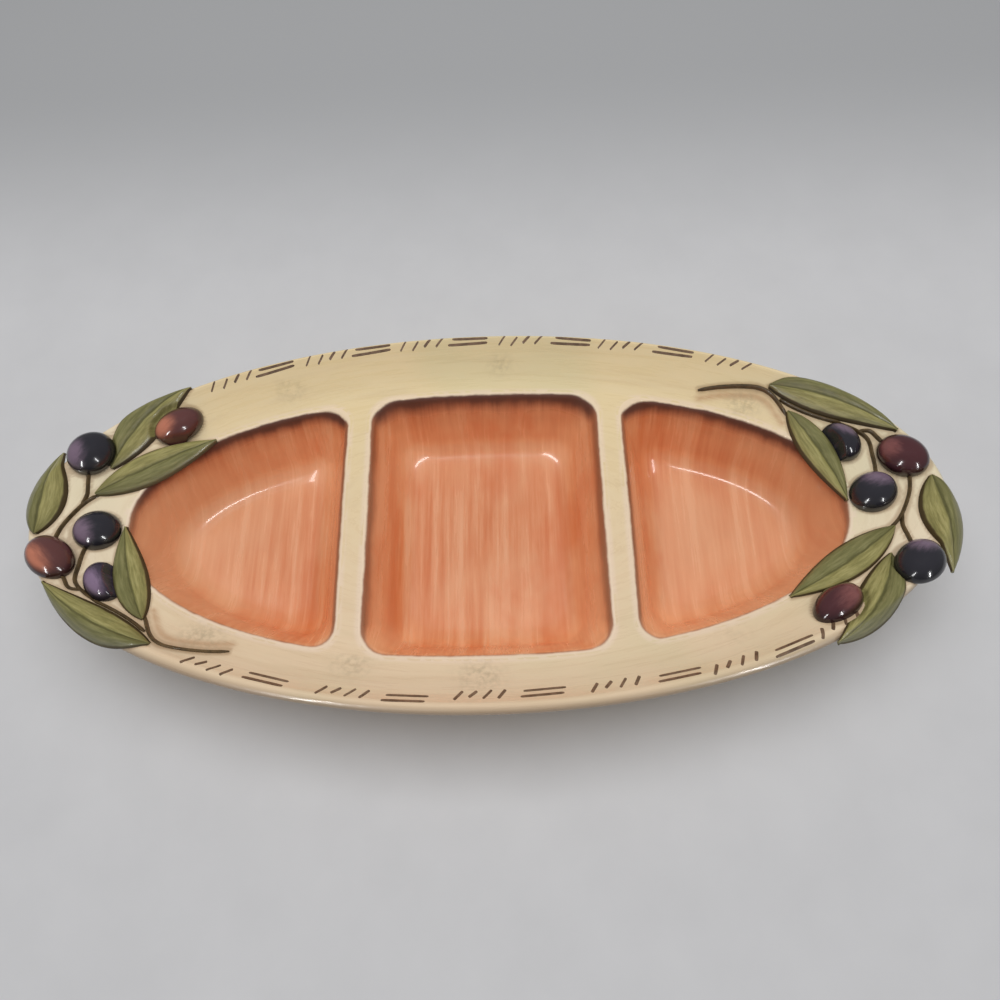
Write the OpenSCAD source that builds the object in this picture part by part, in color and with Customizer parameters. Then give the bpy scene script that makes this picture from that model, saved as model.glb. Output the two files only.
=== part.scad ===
// Oval three-well olive dish in glazed earthenware, with a moulded olive sprig on each end of its rim.
// Millimetres, +Z up, +X along the dish. The origin is on the table, under the middle of the foot ring.

/* [Rim] */
// Length of the rim, end to end
rim_length = 394; // [360:1:430]
// Width of the rim, front to back
rim_width = 174.5; // [164:0.5:194]
// Height that the rim's edge stands above the lips of the wells
rim_rise = 12; // [6:0.5:18]
// Thickness of the rim and of its rounded edge
rim_thickness = 6; // [4:0.5:8]
// Stretch, at the ends of the dish, over which the rim sweeps up to its edge
rim_sweep = 46; // [30:1:60]

/* [Wells] */
// Length over the three wells, at their lips
wells_length = 315; // [290:1:330]
// Width of the wells, front to back, at their lips
wells_width = 123; // [112:1:132]
// Length of the middle well at its lips
middle_well_length = 103.5; // [84:0.5:124]
// Thickness of each divider at its top
divider_width = 12.5; // [8:0.5:18]
// Depth of the wells below their lips
well_depth = 33; // [24:1:42]
// Lean of the well walls from upright, in degrees
wall_lean = 18; // [8:1:24]
// Radius between the wall and the floor of a well
floor_radius = 13; // [8:0.5:18]
// Corner radius of the middle well, in plan
middle_corner = 12; // [6:0.5:16]
// Corner radius of the side wells, in plan
side_corner = 9; // [5:0.5:12]
// Depth of the eased edge along the lips
lip_ease = 2; // [1:0.25:3]

/* [Walls] */
// Thickness of the walls, measured level
wall_thickness = 6; // [4:0.5:8]
// Thickness of the floors
floor_thickness = 6; // [4:0.5:9]
// Thickness of the glaze coat in the wells
glaze_thickness = 0.8; // [0.4:0.1:1.2]

/* [Foot] */
// Height of the foot ring
foot_height = 3; // [2:0.5:6]
// Width of the foot ring's band
foot_band = 7; // [5:0.5:10]
// Step from the edge of the flat base in to the foot ring
foot_step = 4; // [3:0.5:8]

/* [Sprigs] */
// Length of a sprig's layout, in from the end of the rim
sprig_length = 100; // [94:1:104]
// How far a sprig leans in towards the back, per millimetre; the right-hand sprig leans the other way
sprig_lean = 0.04; // [0:0.01:0.06]
// Height of a leaf above the rim, beside its midrib
leaf_height = 3.4; // [2:0.1:5]
// Height of a leaf's edge above the rim
leaf_edge = 1.6; // [1:0.1:2]
// Depth of the midrib's groove in a leaf
midrib_depth = 0.7; // [0.2:0.1:1]
// Width of the lower leaf
lower_leaf_width = 13.5; // [11:0.5:15.5]
// Width of the inner leaf
inner_leaf_width = 13; // [10:0.5:15]
// Width of the end leaf
end_leaf_width = 16.5; // [12:0.5:18]
// Width of the leaf beside the well
well_leaf_width = 14; // [11:0.5:16]
// Width of the upper leaf
upper_leaf_width = 14.5; // [11:0.5:16.5]
// Height of the olives above the rim
olive_height = 8; // [5:0.5:11]
// Length of the upper olive
upper_olive_length = 23; // [18:0.5:26]
// Width of the upper olive
upper_olive_width = 15; // [12:0.5:18]
// Length of the shoulder olive
shoulder_olive_length = 21; // [18:0.5:24]
// Width of the shoulder olive
shoulder_olive_width = 18.5; // [15:0.5:21]
// Length of the middle olive
middle_olive_length = 20; // [16:0.5:23]
// Width of the middle olive
middle_olive_width = 18; // [14:0.5:20]
// Length of the end olive
end_olive_length = 22; // [18:0.5:25]
// Width of the end olive
end_olive_width = 17.5; // [14:0.5:20]
// Length of the tucked olive
tucked_olive_length = 19; // [15:0.5:22]
// Width of the tucked olive
tucked_olive_width = 15; // [12:0.5:18]
// Width of the stems
stem_width = 1.8; // [1.4:0.1:3]
// Height of the stems above the rim
stem_height = 1.6; // [1:0.1:3]

/* [Clearances] */
// Gap under and between the pieces that are set on the dish
seat_gap = 0.3; // [0.1:0.05:0.4]

/* [Hidden] */
SIDES = ["left", "right"];
WELLS = ["left", "middle", "right"];
DISH = ["dish_body", "foot_ring", "left_well_glaze", "middle_well_glaze", "right_well_glaze"];

// Heights
base_z = foot_height;
lip_z = base_z + floor_thickness + well_depth;
edge_z = lip_z + rim_rise;

// Rim: half-sizes, and the sweep up to the crest just inside the rounded edge
rim_a = rim_length / 2;
rim_ratio = rim_width / rim_length;
sweep_power = 1.5;
edge_radius = rim_thickness / 2;
crest_slope = sweep_power * rim_rise / rim_sweep;
crest_angle = atan(crest_slope);
crest_r = rim_a - edge_radius * (1 + sin(crest_angle));
sweep_start = crest_r - rim_sweep;

// Wells: the sides of the dividers, and a fuller oval than an ellipse
oval_power = 2.15;
divider_in = middle_well_length / 2;
divider_out = divider_in + divider_width;
divider_mid = divider_in + divider_width / 2;

// How far a cutter runs past the face that it cuts
cut_past = 1;

// Drawing steps
oval_steps = 72;
rim_steps = 96;
sweep_steps = 6;
edge_steps = 6;
well_steps = 24;
corner_steps = 5;
fillet_steps = 5;
leaf_steps = 12;
stem_steps = 4;
olive_steps = 48;
seat_step = 15;

// Height of the rim's upper face over a point: up the sweep to the crest, over the rounded edge, then down
// the straight line that leaves the edge at the fall angle, for the pieces that hang over it
fall_angle = 30;
edge_mid = [crest_r + edge_radius * sin(crest_angle), edge_z - edge_radius * cos(crest_angle)];
fall_r = edge_mid.x + edge_radius * sin(fall_angle);
function rim_radius(p) = norm([p.x, p.y / rim_ratio]);
function sweep_height(r) = lip_z + rim_rise * pow(max(0, r - sweep_start) / rim_sweep, sweep_power);
function edge_height(r) = edge_mid.y + sqrt(pow(edge_radius, 2) - pow(r - edge_mid.x, 2));
function rim_height(r) =
    r < crest_r ? sweep_height(r) :
    r < fall_r ? edge_height(r) :
    edge_height(fall_r) - (r - fall_r) * tan(fall_angle);
function rim_top(p) = rim_height(rim_radius(p));

// The oval that bounds the wells, drawn in by an inset, and the way out of it at a turn
function oval_coord(half, c) = half * sign(c) * pow(abs(c), 2 / oval_power);
function oval(a, inset) =
    [oval_coord(wells_length / 2 - inset, cos(a)), oval_coord(wells_width / 2 - inset, sin(a))];
function slant(half, c) = sign(c) * pow(abs(c), 2 - 2 / oval_power) / half;
function oval_way(a, inset) =
    let (way = [slant(wells_length / 2 - inset, cos(a)), slant(wells_width / 2 - inset, sin(a))])
    way / norm(way);
function unit(a) = [cos(a), sin(a)];

// Where a corner's round meets the oval: the turn at which the round's middle is at x, found by halving
function corner_mid(a, inset, r) = oval(a, inset) - r * oval_way(a, inset);
function corner_turn(x, inset, r, low = 0, high = 90, tries = 24) =
    let (a = (low + high) / 2)
    tries == 0 ? a :
    corner_mid(a, inset, r).x > x ? corner_turn(x, inset, r, a, high, tries - 1) :
    corner_turn(x, inset, r, low, a, tries - 1);

// Outline of the side well at +X: along the oval, round the back corner, then round the front one
function side_ring(inset) =
    let (
        r = side_corner,
        a = corner_turn(divider_out + inset + r, inset, r),
        mid = corner_mid(a, inset, r),
        way = oval_way(a, inset),
        start = atan2(way.y, way.x),
        back = [for (k = [1:corner_steps]) mid + r * unit(start + (180 - start) * k / corner_steps)]
    )
    concat(
        [for (i = [0:well_steps]) oval(a * (2 * i / well_steps - 1), inset)],
        back,
        [for (k = [corner_steps - 1:-1:0]) [back[k].x, -back[k].y]]);

// Outline of the middle well: its back half, and the same turned round for its front half
function middle_ring(inset) =
    let (
        r = middle_corner,
        a = corner_turn(divider_in - inset - r, inset, r),
        mid = corner_mid(a, inset, r),
        way = oval_way(a, inset),
        start = atan2(way.y, way.x),
        corner = [for (k = [0:corner_steps - 1]) mid + r * unit(start * k / corner_steps)],
        half = concat(
            corner,
            [for (i = [0:well_steps]) oval(a + (180 - 2 * a) * i / well_steps, inset)],
            [for (k = [corner_steps - 1:-1:0]) [-corner[k].x, corner[k].y]])
    )
    concat(half, -half);

function well_ring(which, inset) =
    which == "middle" ? middle_ring(inset) : which == "right" ? side_ring(inset) : -side_ring(inset);
function at_height(ring, z) = [for (p = ring) [p.x, p.y, z]];

// Section of a well's wall and floor, moved out sideways and down, from a depth under the lip:
// rows of [inset from the lip, depth], from the floor up
function wall_section(out, down, start = 0) =
    let (
        depth = well_depth + down,
        radius = max(1, floor_radius + out),
        shift = -out / cos(wall_lean),
        run = radius * tan((90 - wall_lean) / 2),
        foot = shift + depth * tan(wall_lean) + run
    )
    concat(
        [for (i = [0:fillet_steps])
            let (t = (90 - wall_lean) * i / fillet_steps)
            [foot - radius * sin(t), depth - radius + radius * cos(t)]],
        [[shift + start * tan(wall_lean), start]]);
function well_rings(which, section) = [for (p = section) at_height(well_ring(which, p.x), lip_z - p.y)];

// Inset of the flat base from the oval of the wells
bowl_section = wall_section(wall_thickness, floor_thickness, rim_thickness / 2);
base_inset = bowl_section[0].x;

// A well as a solid, moved out sideways and down, with its top carried up past the rim
module well_space(which, out, down) {
    top = [[-out / cos(wall_lean), -2 * rim_rise]];
    hull() lofted(well_rings(which, concat(wall_section(out, down), top)));
}

// The eased edge along a well's lip: a cone that starts inside the well and opens past the lip
module lip_flare(which) {
    hull() lofted(well_rings(which, [
        [2 * lip_ease, 2 * lip_ease],
        [-lip_ease, 0],
        [-lip_ease, -2 * rim_rise]]));
}

// Oval bowl that holds the three wells, as a solid that ends inside the rim
module bowl() {
    hull() lofted([for (p = bowl_section)
        at_height([for (i = [0:oval_steps - 1]) oval(360 * i / oval_steps, p.x)], lip_z - p.y)]);
}

// Flared oval rim with a rounded edge, as a solid plate that the wells are cut through
module rim_plate() {
    sweep = [for (i = [0:sweep_steps - 1])
        let (r = sweep_start + rim_sweep * i / sweep_steps) [r, rim_height(r)]];
    edge = [for (i = [0:edge_steps]) edge_mid + edge_radius * unit(90 + crest_angle - 180 * i / edge_steps)];
    under = [for (i = [sweep_steps - 1:-1:0]) sweep[i] - [0, rim_thickness]];
    scale([1, rim_ratio, 1]) rotate_extrude($fn = rim_steps)
        polygon(concat([[0, lip_z]], sweep, edge, under, [[0, lip_z - rim_thickness]]));
}

// Hollow under each divider, one wall away from the wells on both sides and inside the foot ring
module divider_hollow(side) {
    reach = divider_width / 2 + base_inset;
    ring_x = wells_length / 2 - base_inset - foot_step - foot_band;
    ring_y = wells_width / 2 - base_inset - foot_step - foot_band;
    hollow_half = ring_y * sqrt(1 - pow(min(1, (divider_mid + reach) / ring_x), 2));
    difference() {
        translate([side * divider_mid - reach, -hollow_half, base_z - 2 * cut_past])
            cube([2 * reach, 2 * hollow_half, lip_z - rim_thickness - base_z + 2 * cut_past]);
        well_space("middle", wall_thickness, floor_thickness + cut_past);
        well_space(side < 0 ? "left" : "right", wall_thickness, floor_thickness + cut_past);
    }
}

module dish_body() {
    color([0.87, 0.79, 0.62]) difference() {
        union() {
            bowl();
            rim_plate();
        }
        for (which = WELLS) {
            well_space(which, 0, 0);
            lip_flare(which);
        }
        for (side = [-1, 1]) divider_hollow(side);
    }
}

// Foot ring: a flat oval band, drawn as an outline and its hollow
function foot_oval(inset) = [for (i = [0:rim_steps - 1])
    let (a = 360 * i / rim_steps)
    [(wells_length / 2 - base_inset - inset) * cos(a), (wells_width / 2 - base_inset - inset) * sin(a)]];
module foot_ring() {
    color([0.80, 0.72, 0.60]) linear_extrude(foot_height) difference() {
        polygon(foot_oval(foot_step));
        polygon(foot_oval(foot_step + foot_band));
    }
}

// Glaze coat on the wall and floor of a well, up to the eased lip
module well_glaze(which) {
    outer = well_rings(which, wall_section(-seat_gap, -seat_gap, lip_ease));
    coat = seat_gap + glaze_thickness;
    inner = well_rings(which, wall_section(-coat, -coat, lip_ease));
    color([0.80, 0.51, 0.36]) lofted(concat(outer, [for (i = [len(inner) - 1:-1:0]) inner[i]]));
}

// Sprig layout, for the end at -X. Points are in hundredths: x runs in from the rim's end, in hundredths of
// the sprig's length, and y to the back, in hundredths of half the rim's width. Bows are in hundredths of the
// length. A piece is cut clear of the pieces that lie over it, named in its last column.
leaf_green = [0.45, 0.47, 0.26];
stem_brown = [0.33, 0.24, 0.16];
navy = [0.16, 0.16, 0.22];
plum = [0.52, 0.28, 0.22];
maroon = [0.34, 0.17, 0.19];
violet = [0.33, 0.27, 0.40];

// Shape of a leaf's outline: how full it is, its half-width at the very ends, and the step that finds its way
leaf_power = 0.85;
leaf_blunt = laid_size(0.5);
spine_step = 0.01;

// Leaf rows: name, base, tip, width, bow to the left of the way from base to tip, pieces over it
LEAVES = [
    ["well_leaf", [24.3, 14.9], [72, 47], well_leaf_width, 1.3, ["shoulder_olive", "middle_olive"]],
    ["inner_leaf", [57, -51.2], [39, -1.7], inner_leaf_width, 2.3, ["middle_olive"]],
    ["end_leaf", [5.8, -8.7], [5.4, 38.6], end_leaf_width, 0.6, ["shoulder_olive", "end_olive"]],
    ["upper_leaf", [29, 29], [60.5, 72.2], upper_leaf_width, 4.4,
        ["well_leaf", "shoulder_olive", "upper_olive"]],
    ["lower_leaf", [64, -64.4], [14.6, -33.8], lower_leaf_width, 3.7,
        ["end_olive", "inner_leaf", "main_stem"]]
];

// Olive rows: name, middle, length, width, turn of the long axis, colour on left and right, pieces over it
OLIVES = [
    ["upper_olive", [55.2, 53.1], upper_olive_length, upper_olive_width, 33, plum, maroon, ["well_leaf"]],
    ["shoulder_olive", [20.4, 35.2], shoulder_olive_length, shoulder_olive_width, 45, navy, navy, []],
    ["middle_olive", [27.8, -4.6], middle_olive_length, middle_olive_width, 20, navy, navy, []],
    ["end_olive", [13.9, -20.6], end_olive_length, end_olive_width, -40, plum, maroon, ["middle_olive"]],
    ["tucked_olive", [36.5, -32.1], tucked_olive_length, tucked_olive_width, -55, violet, navy,
        ["inner_leaf", "middle_olive", "end_olive"]]
];

// Stem rows: name, points along it, pieces over it. The fork stem runs along the lower leaf's inner edge.
fork_start = 0.1;
fork_end = 0.62;
fork_rows = 5;
lower_leaf = row_of(LEAVES, "lower_leaf");
fork_route = [for (i = [0:fork_rows])
    let (u = fork_start + (fork_end - fork_start) * i / fork_rows)
    leaf_point(lower_leaf, u, -1, stem_width / 2 + seat_gap)];
fork_tip = fork_route[fork_rows];

// The end stalk leaves the middle stalk, runs beside the lower leaf and turns up to the end olive
middle_turn = laid([26.5, -33.2]);
end_leave = 0.6;
end_beside = 0.84;
end_route = [
    fork_tip + end_leave * (middle_turn - fork_tip),
    leaf_point(lower_leaf, end_beside, -1, stem_width + seat_gap),
    laid([21.5, -30.9]),
    laid([17, -24.1])];
STEMS = [
    ["main_stem",
        route([[94.7, -67.2], [85.8, -67.4], [76, -66.4], [67.8, -64.2], [62, -59.1], [56.4, -48.1]]),
        ["inner_leaf"]],
    ["fork_stem", fork_route, ["main_stem", "inner_leaf", "tucked_olive"]],
    ["middle_stalk",
        concat([fork_tip, middle_turn], route([[25.1, -23.5], [25.1, -15.5], [26.5, -8]])),
        ["fork_stem", "lower_leaf", "middle_olive", "tucked_olive", "end_olive"]],
    ["end_stalk", end_route, ["middle_stalk", "lower_leaf", "end_olive"]],
    ["upper_stem", route([[13.2, -14.9], [13.4, -8], [15.2, -0.7], [19.7, 8.6], [24.5, 14.3], [29, 17.2]]),
        ["end_olive", "well_leaf", "end_leaf", "middle_olive"]],
    ["shoulder_stalk", route([[19.4, 8], [20.8, 14.3], [20.4, 20.6], [20, 28.7]]),
        ["upper_stem", "shoulder_olive", "well_leaf", "end_leaf"]]
];

SPRIG = concat([for (r = LEAVES) r[0]], [for (r = OLIVES) r[0]], [for (r = STEMS) r[0]]);

function row_of(rows, name) = rows[search([name], rows)[0]];
function laid_size(s) = s * sprig_length / 100;
function laid(p) = [laid_size(p.x), p.y * rim_width / 200];
function route(points) = [for (p = points) laid(p)];
function left_of(d) = [-d.y, d.x] / norm(d);

// A point of the layout set down on the dish, with the lean of the sprig being drawn
lean_middle = laid([0, 11.5]).y;
function set_down(p) = [p.x - rim_a + $lean * (p.y - lean_middle), p.y];
function all_down(points) = [for (p = points) set_down(p)];

// Leaf: a bowed middle line, and points at a share of the half-width to its left (+) or right (-)
function leaf_spine(row, u) =
    let (base = laid(row[1]), tip = laid(row[2]))
    base + u * (tip - base) + 4 * u * (1 - u) * laid_size(row[4]) * left_of(tip - base);
function leaf_half(row, u) =
    max(leaf_blunt, row[3] / 2 * pow(sin(180 * pow(u, leaf_power)), leaf_power));
function leaf_point(row, u, share, grow = 0) =
    let (along = leaf_spine(row, u + spine_step) - leaf_spine(row, u - spine_step))
    leaf_spine(row, u) + (share * leaf_half(row, u) + sign(share) * grow) * left_of(along);
function leaf_outline(row) = concat(
    [for (i = [0:leaf_steps]) leaf_point(row, i / leaf_steps, -1)],
    [for (i = [leaf_steps:-1:0]) leaf_point(row, i / leaf_steps, 1)]);

// Stem: a smooth line through its points, and its plan outline
function knot(points, i) =
    i < 0 ? 2 * points[0] - points[1] :
    i >= len(points) ? 2 * points[len(points) - 1] - points[len(points) - 2] : points[i];
function between(a, b, c, d, t) =
    0.5 * (2 * b + (c - a) * t + (2 * a - 5 * b + 4 * c - d) * t * t + (3 * b - a - 3 * c + d) * t * t * t);
function stem_line(points) = concat(
    [for (i = [0:len(points) - 2]) for (k = [0:stem_steps - 1])
        between(knot(points, i - 1), points[i], points[i + 1], knot(points, i + 2), k / stem_steps)],
    [points[len(points) - 1]]);
function stem_side(line, i, share) =
    line[i] + share * stem_width / 2 * left_of(line[min(i + 1, len(line) - 1)] - line[max(i - 1, 0)]);
function stem_outline(line) = concat(
    [for (i = [0:len(line) - 1]) stem_side(line, i, -1)],
    [for (i = [len(line) - 1:-1:0]) stem_side(line, i, 1)]);

module piece_outline(name) {
    leaf = row_of(LEAVES, name);
    olive = row_of(OLIVES, name);
    stem = row_of(STEMS, name);
    if (!is_undef(leaf)) polygon(all_down(leaf_outline(leaf)));
    if (!is_undef(olive))
        translate(set_down(laid(olive[1]))) rotate(olive[4])
            scale([olive[2] / 2, olive[3] / 2]) circle(r = 1, $fn = olive_steps);
    if (!is_undef(stem)) polygon(all_down(stem_outline(stem_line(stem[1]))));
}

// Takes the pieces that lie over a piece out of it, with the gap round them
module clear_of(names) {
    difference() {
        children();
        for (n = names) linear_extrude(2 * edge_z) offset(delta = seat_gap) piece_outline(n);
    }
}

// Closed solid of rings that have as many points each, with capped ends
module lofted(rings) {
    count = len(rings[0]);
    last = len(rings) - 1;
    sides = [for (i = [0:last - 1]) for (k = [0:count - 1])
        let (a = i * count + k, b = i * count + (k + 1) % count)
        each [[a, a + count, b], [b, a + count, b + count]]];
    start = [for (k = [1:count - 2]) [0, k, k + 1]];
    end = [for (k = [1:count - 2]) [last * count, last * count + k + 1, last * count + k]];
    polyhedron([for (r = rings) each r], concat(start, sides, end));
}

function on_rim(p, h) = let (q = set_down(p)) [q.x, q.y, rim_top(q) + seat_gap + h];

// Section of a leaf: from its right edge over to its left edge, and back along the rim
share_step = 0.25;
function leaf_lift(share, u) =
    let (full = pow(sin(180 * (0.04 + 0.92 * u)), 0.5))
    leaf_edge + (leaf_height - leaf_edge) * full * (1 - pow(share, 4)) - (share == 0 ? midrib_depth : 0);
function leaf_ring(row, u) = concat(
    [for (s = [-1:share_step:1]) on_rim(leaf_point(row, u, s), leaf_lift(s, u))],
    [for (s = [1:-share_step:-1]) on_rim(leaf_point(row, u, s), 0)]);
module leaf(row) {
    color(leaf_green) clear_of(row[5]) lofted([for (i = [0:leaf_steps]) leaf_ring(row, i / leaf_steps)]);
}

// Section of a stem: a half round on the rim
stem_turns = [180, 130, 90, 50, 0];
function stem_ring(line, i) =
    [for (a = stem_turns) on_rim(stem_side(line, i, -cos(a)), stem_height * sin(a))];
module stem(row) {
    line = stem_line(row[1]);
    color(stem_brown) clear_of(row[2])
        lofted([for (i = [0:len(line) - 1]) [for (k = [4:-1:0]) stem_ring(line, i)[k]]]);
}

// Slope of the rim under a point, and how far the rim rises over that slope within a piece
slope_step = 0.5;
function rim_slope(p) = [
    (rim_top(p + [slope_step, 0]) - rim_top(p - [slope_step, 0])) / (2 * slope_step),
    (rim_top(p + [0, slope_step]) - rim_top(p - [0, slope_step])) / (2 * slope_step)];
function olive_edge(row, a) =
    let (c = cos(row[4]), s = sin(row[4]), x = row[2] / 2 * cos(a), y = row[3] / 2 * sin(a))
    [c * x - s * y, s * x + c * y];
function seat_lift(row) =
    let (mid = set_down(laid(row[1])), slope = rim_slope(mid))
    max([for (a = [0:seat_step:360 - seat_step])
        let (reach = olive_edge(row, a))
        rim_top(mid + reach) - rim_top(mid) - slope * reach]);

// Olive: the upper half of an egg shape, standing on the slope of the rim
module olive(row, side) {
    mid = set_down(laid(row[1]));
    slope = rim_slope(mid);
    seat = max(0, seat_lift(row)) + seat_gap;
    color(row[5 + side]) clear_of(row[7])
        translate([mid.x, mid.y, rim_top(mid) + seat])
        rotate(a = atan(norm(slope)), v = [slope.y, -slope.x, 0])
        difference() {
            rotate(row[4]) scale([row[2] / 2, row[3] / 2, olive_height]) sphere(r = 1, $fn = olive_steps);
            translate([-row[2], -row[2], -2 * olive_height])
                cube([2 * row[2], 2 * row[2], 2 * olive_height]);
        }
}

dish_body();
foot_ring();
well_glaze("left");  // left_well_glaze
well_glaze("middle");  // middle_well_glaze
well_glaze("right");  // right_well_glaze
for (side = [0, 1]) let ($lean = side == 0 ? sprig_lean : -sprig_lean) rotate([0, 0, 180 * side]) {
    for (row = LEAVES) leaf(row);
    for (row = OLIVES) olive(row, side);
    for (row = STEMS) stem(row);
}
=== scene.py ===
# Oval three-well olive dish in painted, glazed earthenware,
# with a moulded olive sprig on each end of its rim.
import math

import bmesh
import bpy
import numpy as np
from mathutils import Matrix, Vector
from mathutils.geometry import delaunay_2d_cdt


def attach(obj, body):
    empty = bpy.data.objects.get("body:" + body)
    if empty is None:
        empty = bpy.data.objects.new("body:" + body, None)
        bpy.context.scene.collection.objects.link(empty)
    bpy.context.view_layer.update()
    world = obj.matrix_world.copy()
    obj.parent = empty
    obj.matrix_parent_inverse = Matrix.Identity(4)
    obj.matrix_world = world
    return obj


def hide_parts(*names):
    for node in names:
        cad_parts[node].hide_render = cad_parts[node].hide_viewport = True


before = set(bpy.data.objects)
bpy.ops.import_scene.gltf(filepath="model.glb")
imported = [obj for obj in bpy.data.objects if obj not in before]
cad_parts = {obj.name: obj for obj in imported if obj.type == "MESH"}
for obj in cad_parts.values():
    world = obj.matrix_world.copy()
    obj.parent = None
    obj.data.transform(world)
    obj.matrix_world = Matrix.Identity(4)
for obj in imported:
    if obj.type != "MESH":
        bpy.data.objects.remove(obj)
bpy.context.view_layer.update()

# Sizes of the dish in millimetres, the same as the solids have
MM = 0.001
RIM_LENGTH = 394.0
RIM_WIDTH = 174.5
RIM_RISE = 12.0
RIM_THICKNESS = 6.0
RIM_SWEEP = 46.0
WELLS_LENGTH = 315.0
WELLS_WIDTH = 123.0
MIDDLE_WELL_LENGTH = 103.5
DIVIDER_WIDTH = 12.5
WELL_DEPTH = 33.0
WALL_LEAN = math.radians(18.0)
FLOOR_RADIUS = 13.0
MIDDLE_CORNER = 12.0
SIDE_CORNER = 9.0
WALL_THICKNESS = 6.0
FLOOR_THICKNESS = 6.0
FOOT_HEIGHT = 3.0
FOOT_BAND = 7.0
FOOT_STEP = 4.0
SPRIG_LENGTH = 100.0
SPRIG_LEAN = 0.04
LEAN_MIDDLE = 11.5 * RIM_WIDTH / 200
LEAF_HEIGHT = 3.4
LEAF_EDGE = 1.2
MIDRIB_DEPTH = 0.8
OLIVE_HEIGHT = 8.0
STEM_WIDTH = 1.8
STEM_HEIGHT = 1.6
SEAT_GAP = 0.3

# Heights, and the rim's section: a sweep up to the crest, a rounded edge and the fall outside it.
# The roll is how far the crest is drawn in at the front, and where that begins
LIP_Z = FOOT_HEIGHT + FLOOR_THICKNESS + WELL_DEPTH
EDGE_Z = LIP_Z + RIM_RISE
RIM_RATIO = RIM_WIDTH / RIM_LENGTH
SWEEP_POWER = 1.5
EDGE_RADIUS = RIM_THICKNESS / 2
CREST_ANGLE = math.atan(SWEEP_POWER * RIM_RISE / RIM_SWEEP)
CREST_R = RIM_LENGTH / 2 - EDGE_RADIUS * (1 + math.sin(CREST_ANGLE))
SWEEP_START = CREST_R - RIM_SWEEP
EDGE_MID_R = CREST_R + EDGE_RADIUS * math.sin(CREST_ANGLE)
EDGE_MID_Z = EDGE_Z - EDGE_RADIUS * math.cos(CREST_ANGLE)
FALL_ANGLE = math.radians(30.0)
FALL_R = EDGE_MID_R + EDGE_RADIUS * math.sin(FALL_ANGLE)
FALL_Z = EDGE_MID_Z + EDGE_RADIUS * math.cos(FALL_ANGLE)
OVAL_POWER = 2.15
EDGE_OUT_R = EDGE_MID_R + EDGE_RADIUS
ROLL_IN = 2.2 / RIM_RATIO
ROLL_BEGINS = 0.45
ROLL_SPAN = 0.35
ROLL_POWER = 4
DIVIDER_IN = MIDDLE_WELL_LENGTH / 2
DIVIDER_OUT = DIVIDER_IN + DIVIDER_WIDTH
DIVIDER_MID = DIVIDER_IN + DIVIDER_WIDTH / 2

# The lip is rounded from the rim's upper face down into the wall, and its rise fades out below it
WALL_STEEP = math.pi / 2 - WALL_LEAN
LIP_ROUND = 2.6
LIP_INSET = -1.89
LIP_FADE = 20.0

# Where the outer wall meets the underside of the rim, and the reach of the curve between them
JOINT_INSET = -4.4
JOINT_REACH = 9

# Steps along the outlines and down the sections
ARC_STEPS = 132
MIDDLE_STEPS = 56
CORNER_STEPS = 10
SIDE_STEPS = 16
DIVIDER_STEPS = 8
LIP_STEPS = 7
WALL_STEPS = 7
FILLET_STEPS = 12
FLOOR_STEPS = 12
TOP_STEPS = 24
EDGE_STEPS = 14
UNDER_STEPS = 8
JOINT_STEPS = 7
OUTSIDE_STEPS = 4
FOOT_STEPS = 192
HOLLOW_STEPS = 8
HOLLOW_ROWS = 4
OUTLINE_STEPS = 36

# Skins are joined where points are this near, and a painted gap is this wide where nothing is near
MERGE_GAP = 0.004
THIN_FACE = 0.0005
FAR_AWAY = 99.0

# Small steps and counts of the reckoning
TINY = 1e-9
HALVINGS = 40
SPINE_STEP = 0.01
PART_SIZE = 2000


def smooth_step(x):
    x = np.clip(x, 0, 1)
    return x * x * (3 - 2 * x)


def rim_radius(x, y):
    return np.hypot(x, np.asarray(y) / RIM_RATIO)


def front_share(x, y):
    """How far to the front a place on the rim lies: 1 at the front, and -1 at the back."""
    return -np.asarray(y) / RIM_RATIO / np.maximum(rim_radius(x, y), 1.0)


def roll_crest(x, y):
    """Radius of the rim's crest: drawn in towards the front, where the edge is rolled wider."""
    return CREST_R - ROLL_IN * smooth_step((front_share(x, y) - ROLL_BEGINS) / ROLL_SPAN)


def rim_height(r):
    """Height of the rim's upper face at a radius along its length."""
    r = np.asarray(r, float)
    sweep = LIP_Z + RIM_RISE * (np.clip(r - SWEEP_START, 0, None) / RIM_SWEEP) ** SWEEP_POWER
    edge = EDGE_MID_Z + np.sqrt(np.clip(EDGE_RADIUS ** 2 - (r - EDGE_MID_R) ** 2, 0, None))
    fall = FALL_Z - (r - FALL_R) * math.tan(FALL_ANGLE)
    return np.where(r < CREST_R, sweep, np.where(r < FALL_R, edge, fall))


def rim_top(x, y):
    """Height of the rim's upper face at a place, with the wider roll of the front edge."""
    r = rim_radius(x, y)
    crest = roll_crest(x, y)
    inner = r + (CREST_R - crest) * (np.clip(r - SWEEP_START, 0, None) / (crest - SWEEP_START)) ** ROLL_POWER
    outer = CREST_R + (r - crest) * (EDGE_OUT_R - CREST_R) / (EDGE_OUT_R - crest)
    return rim_height(np.where(r < crest, inner, np.where(r < EDGE_OUT_R, outer, r)))


def rim_over(points):
    return rim_top(points[..., 0], points[..., 1])


def oval(a, inset):
    """Points of the oval that bounds the wells, drawn in by an inset."""
    c = np.cos(a)
    s = np.sin(a)
    x = (WELLS_LENGTH / 2 - inset) * np.sign(c) * np.abs(c) ** (2 / OVAL_POWER)
    y = (WELLS_WIDTH / 2 - inset) * np.sign(s) * np.abs(s) ** (2 / OVAL_POWER)
    return np.stack([x, y], -1)


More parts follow.
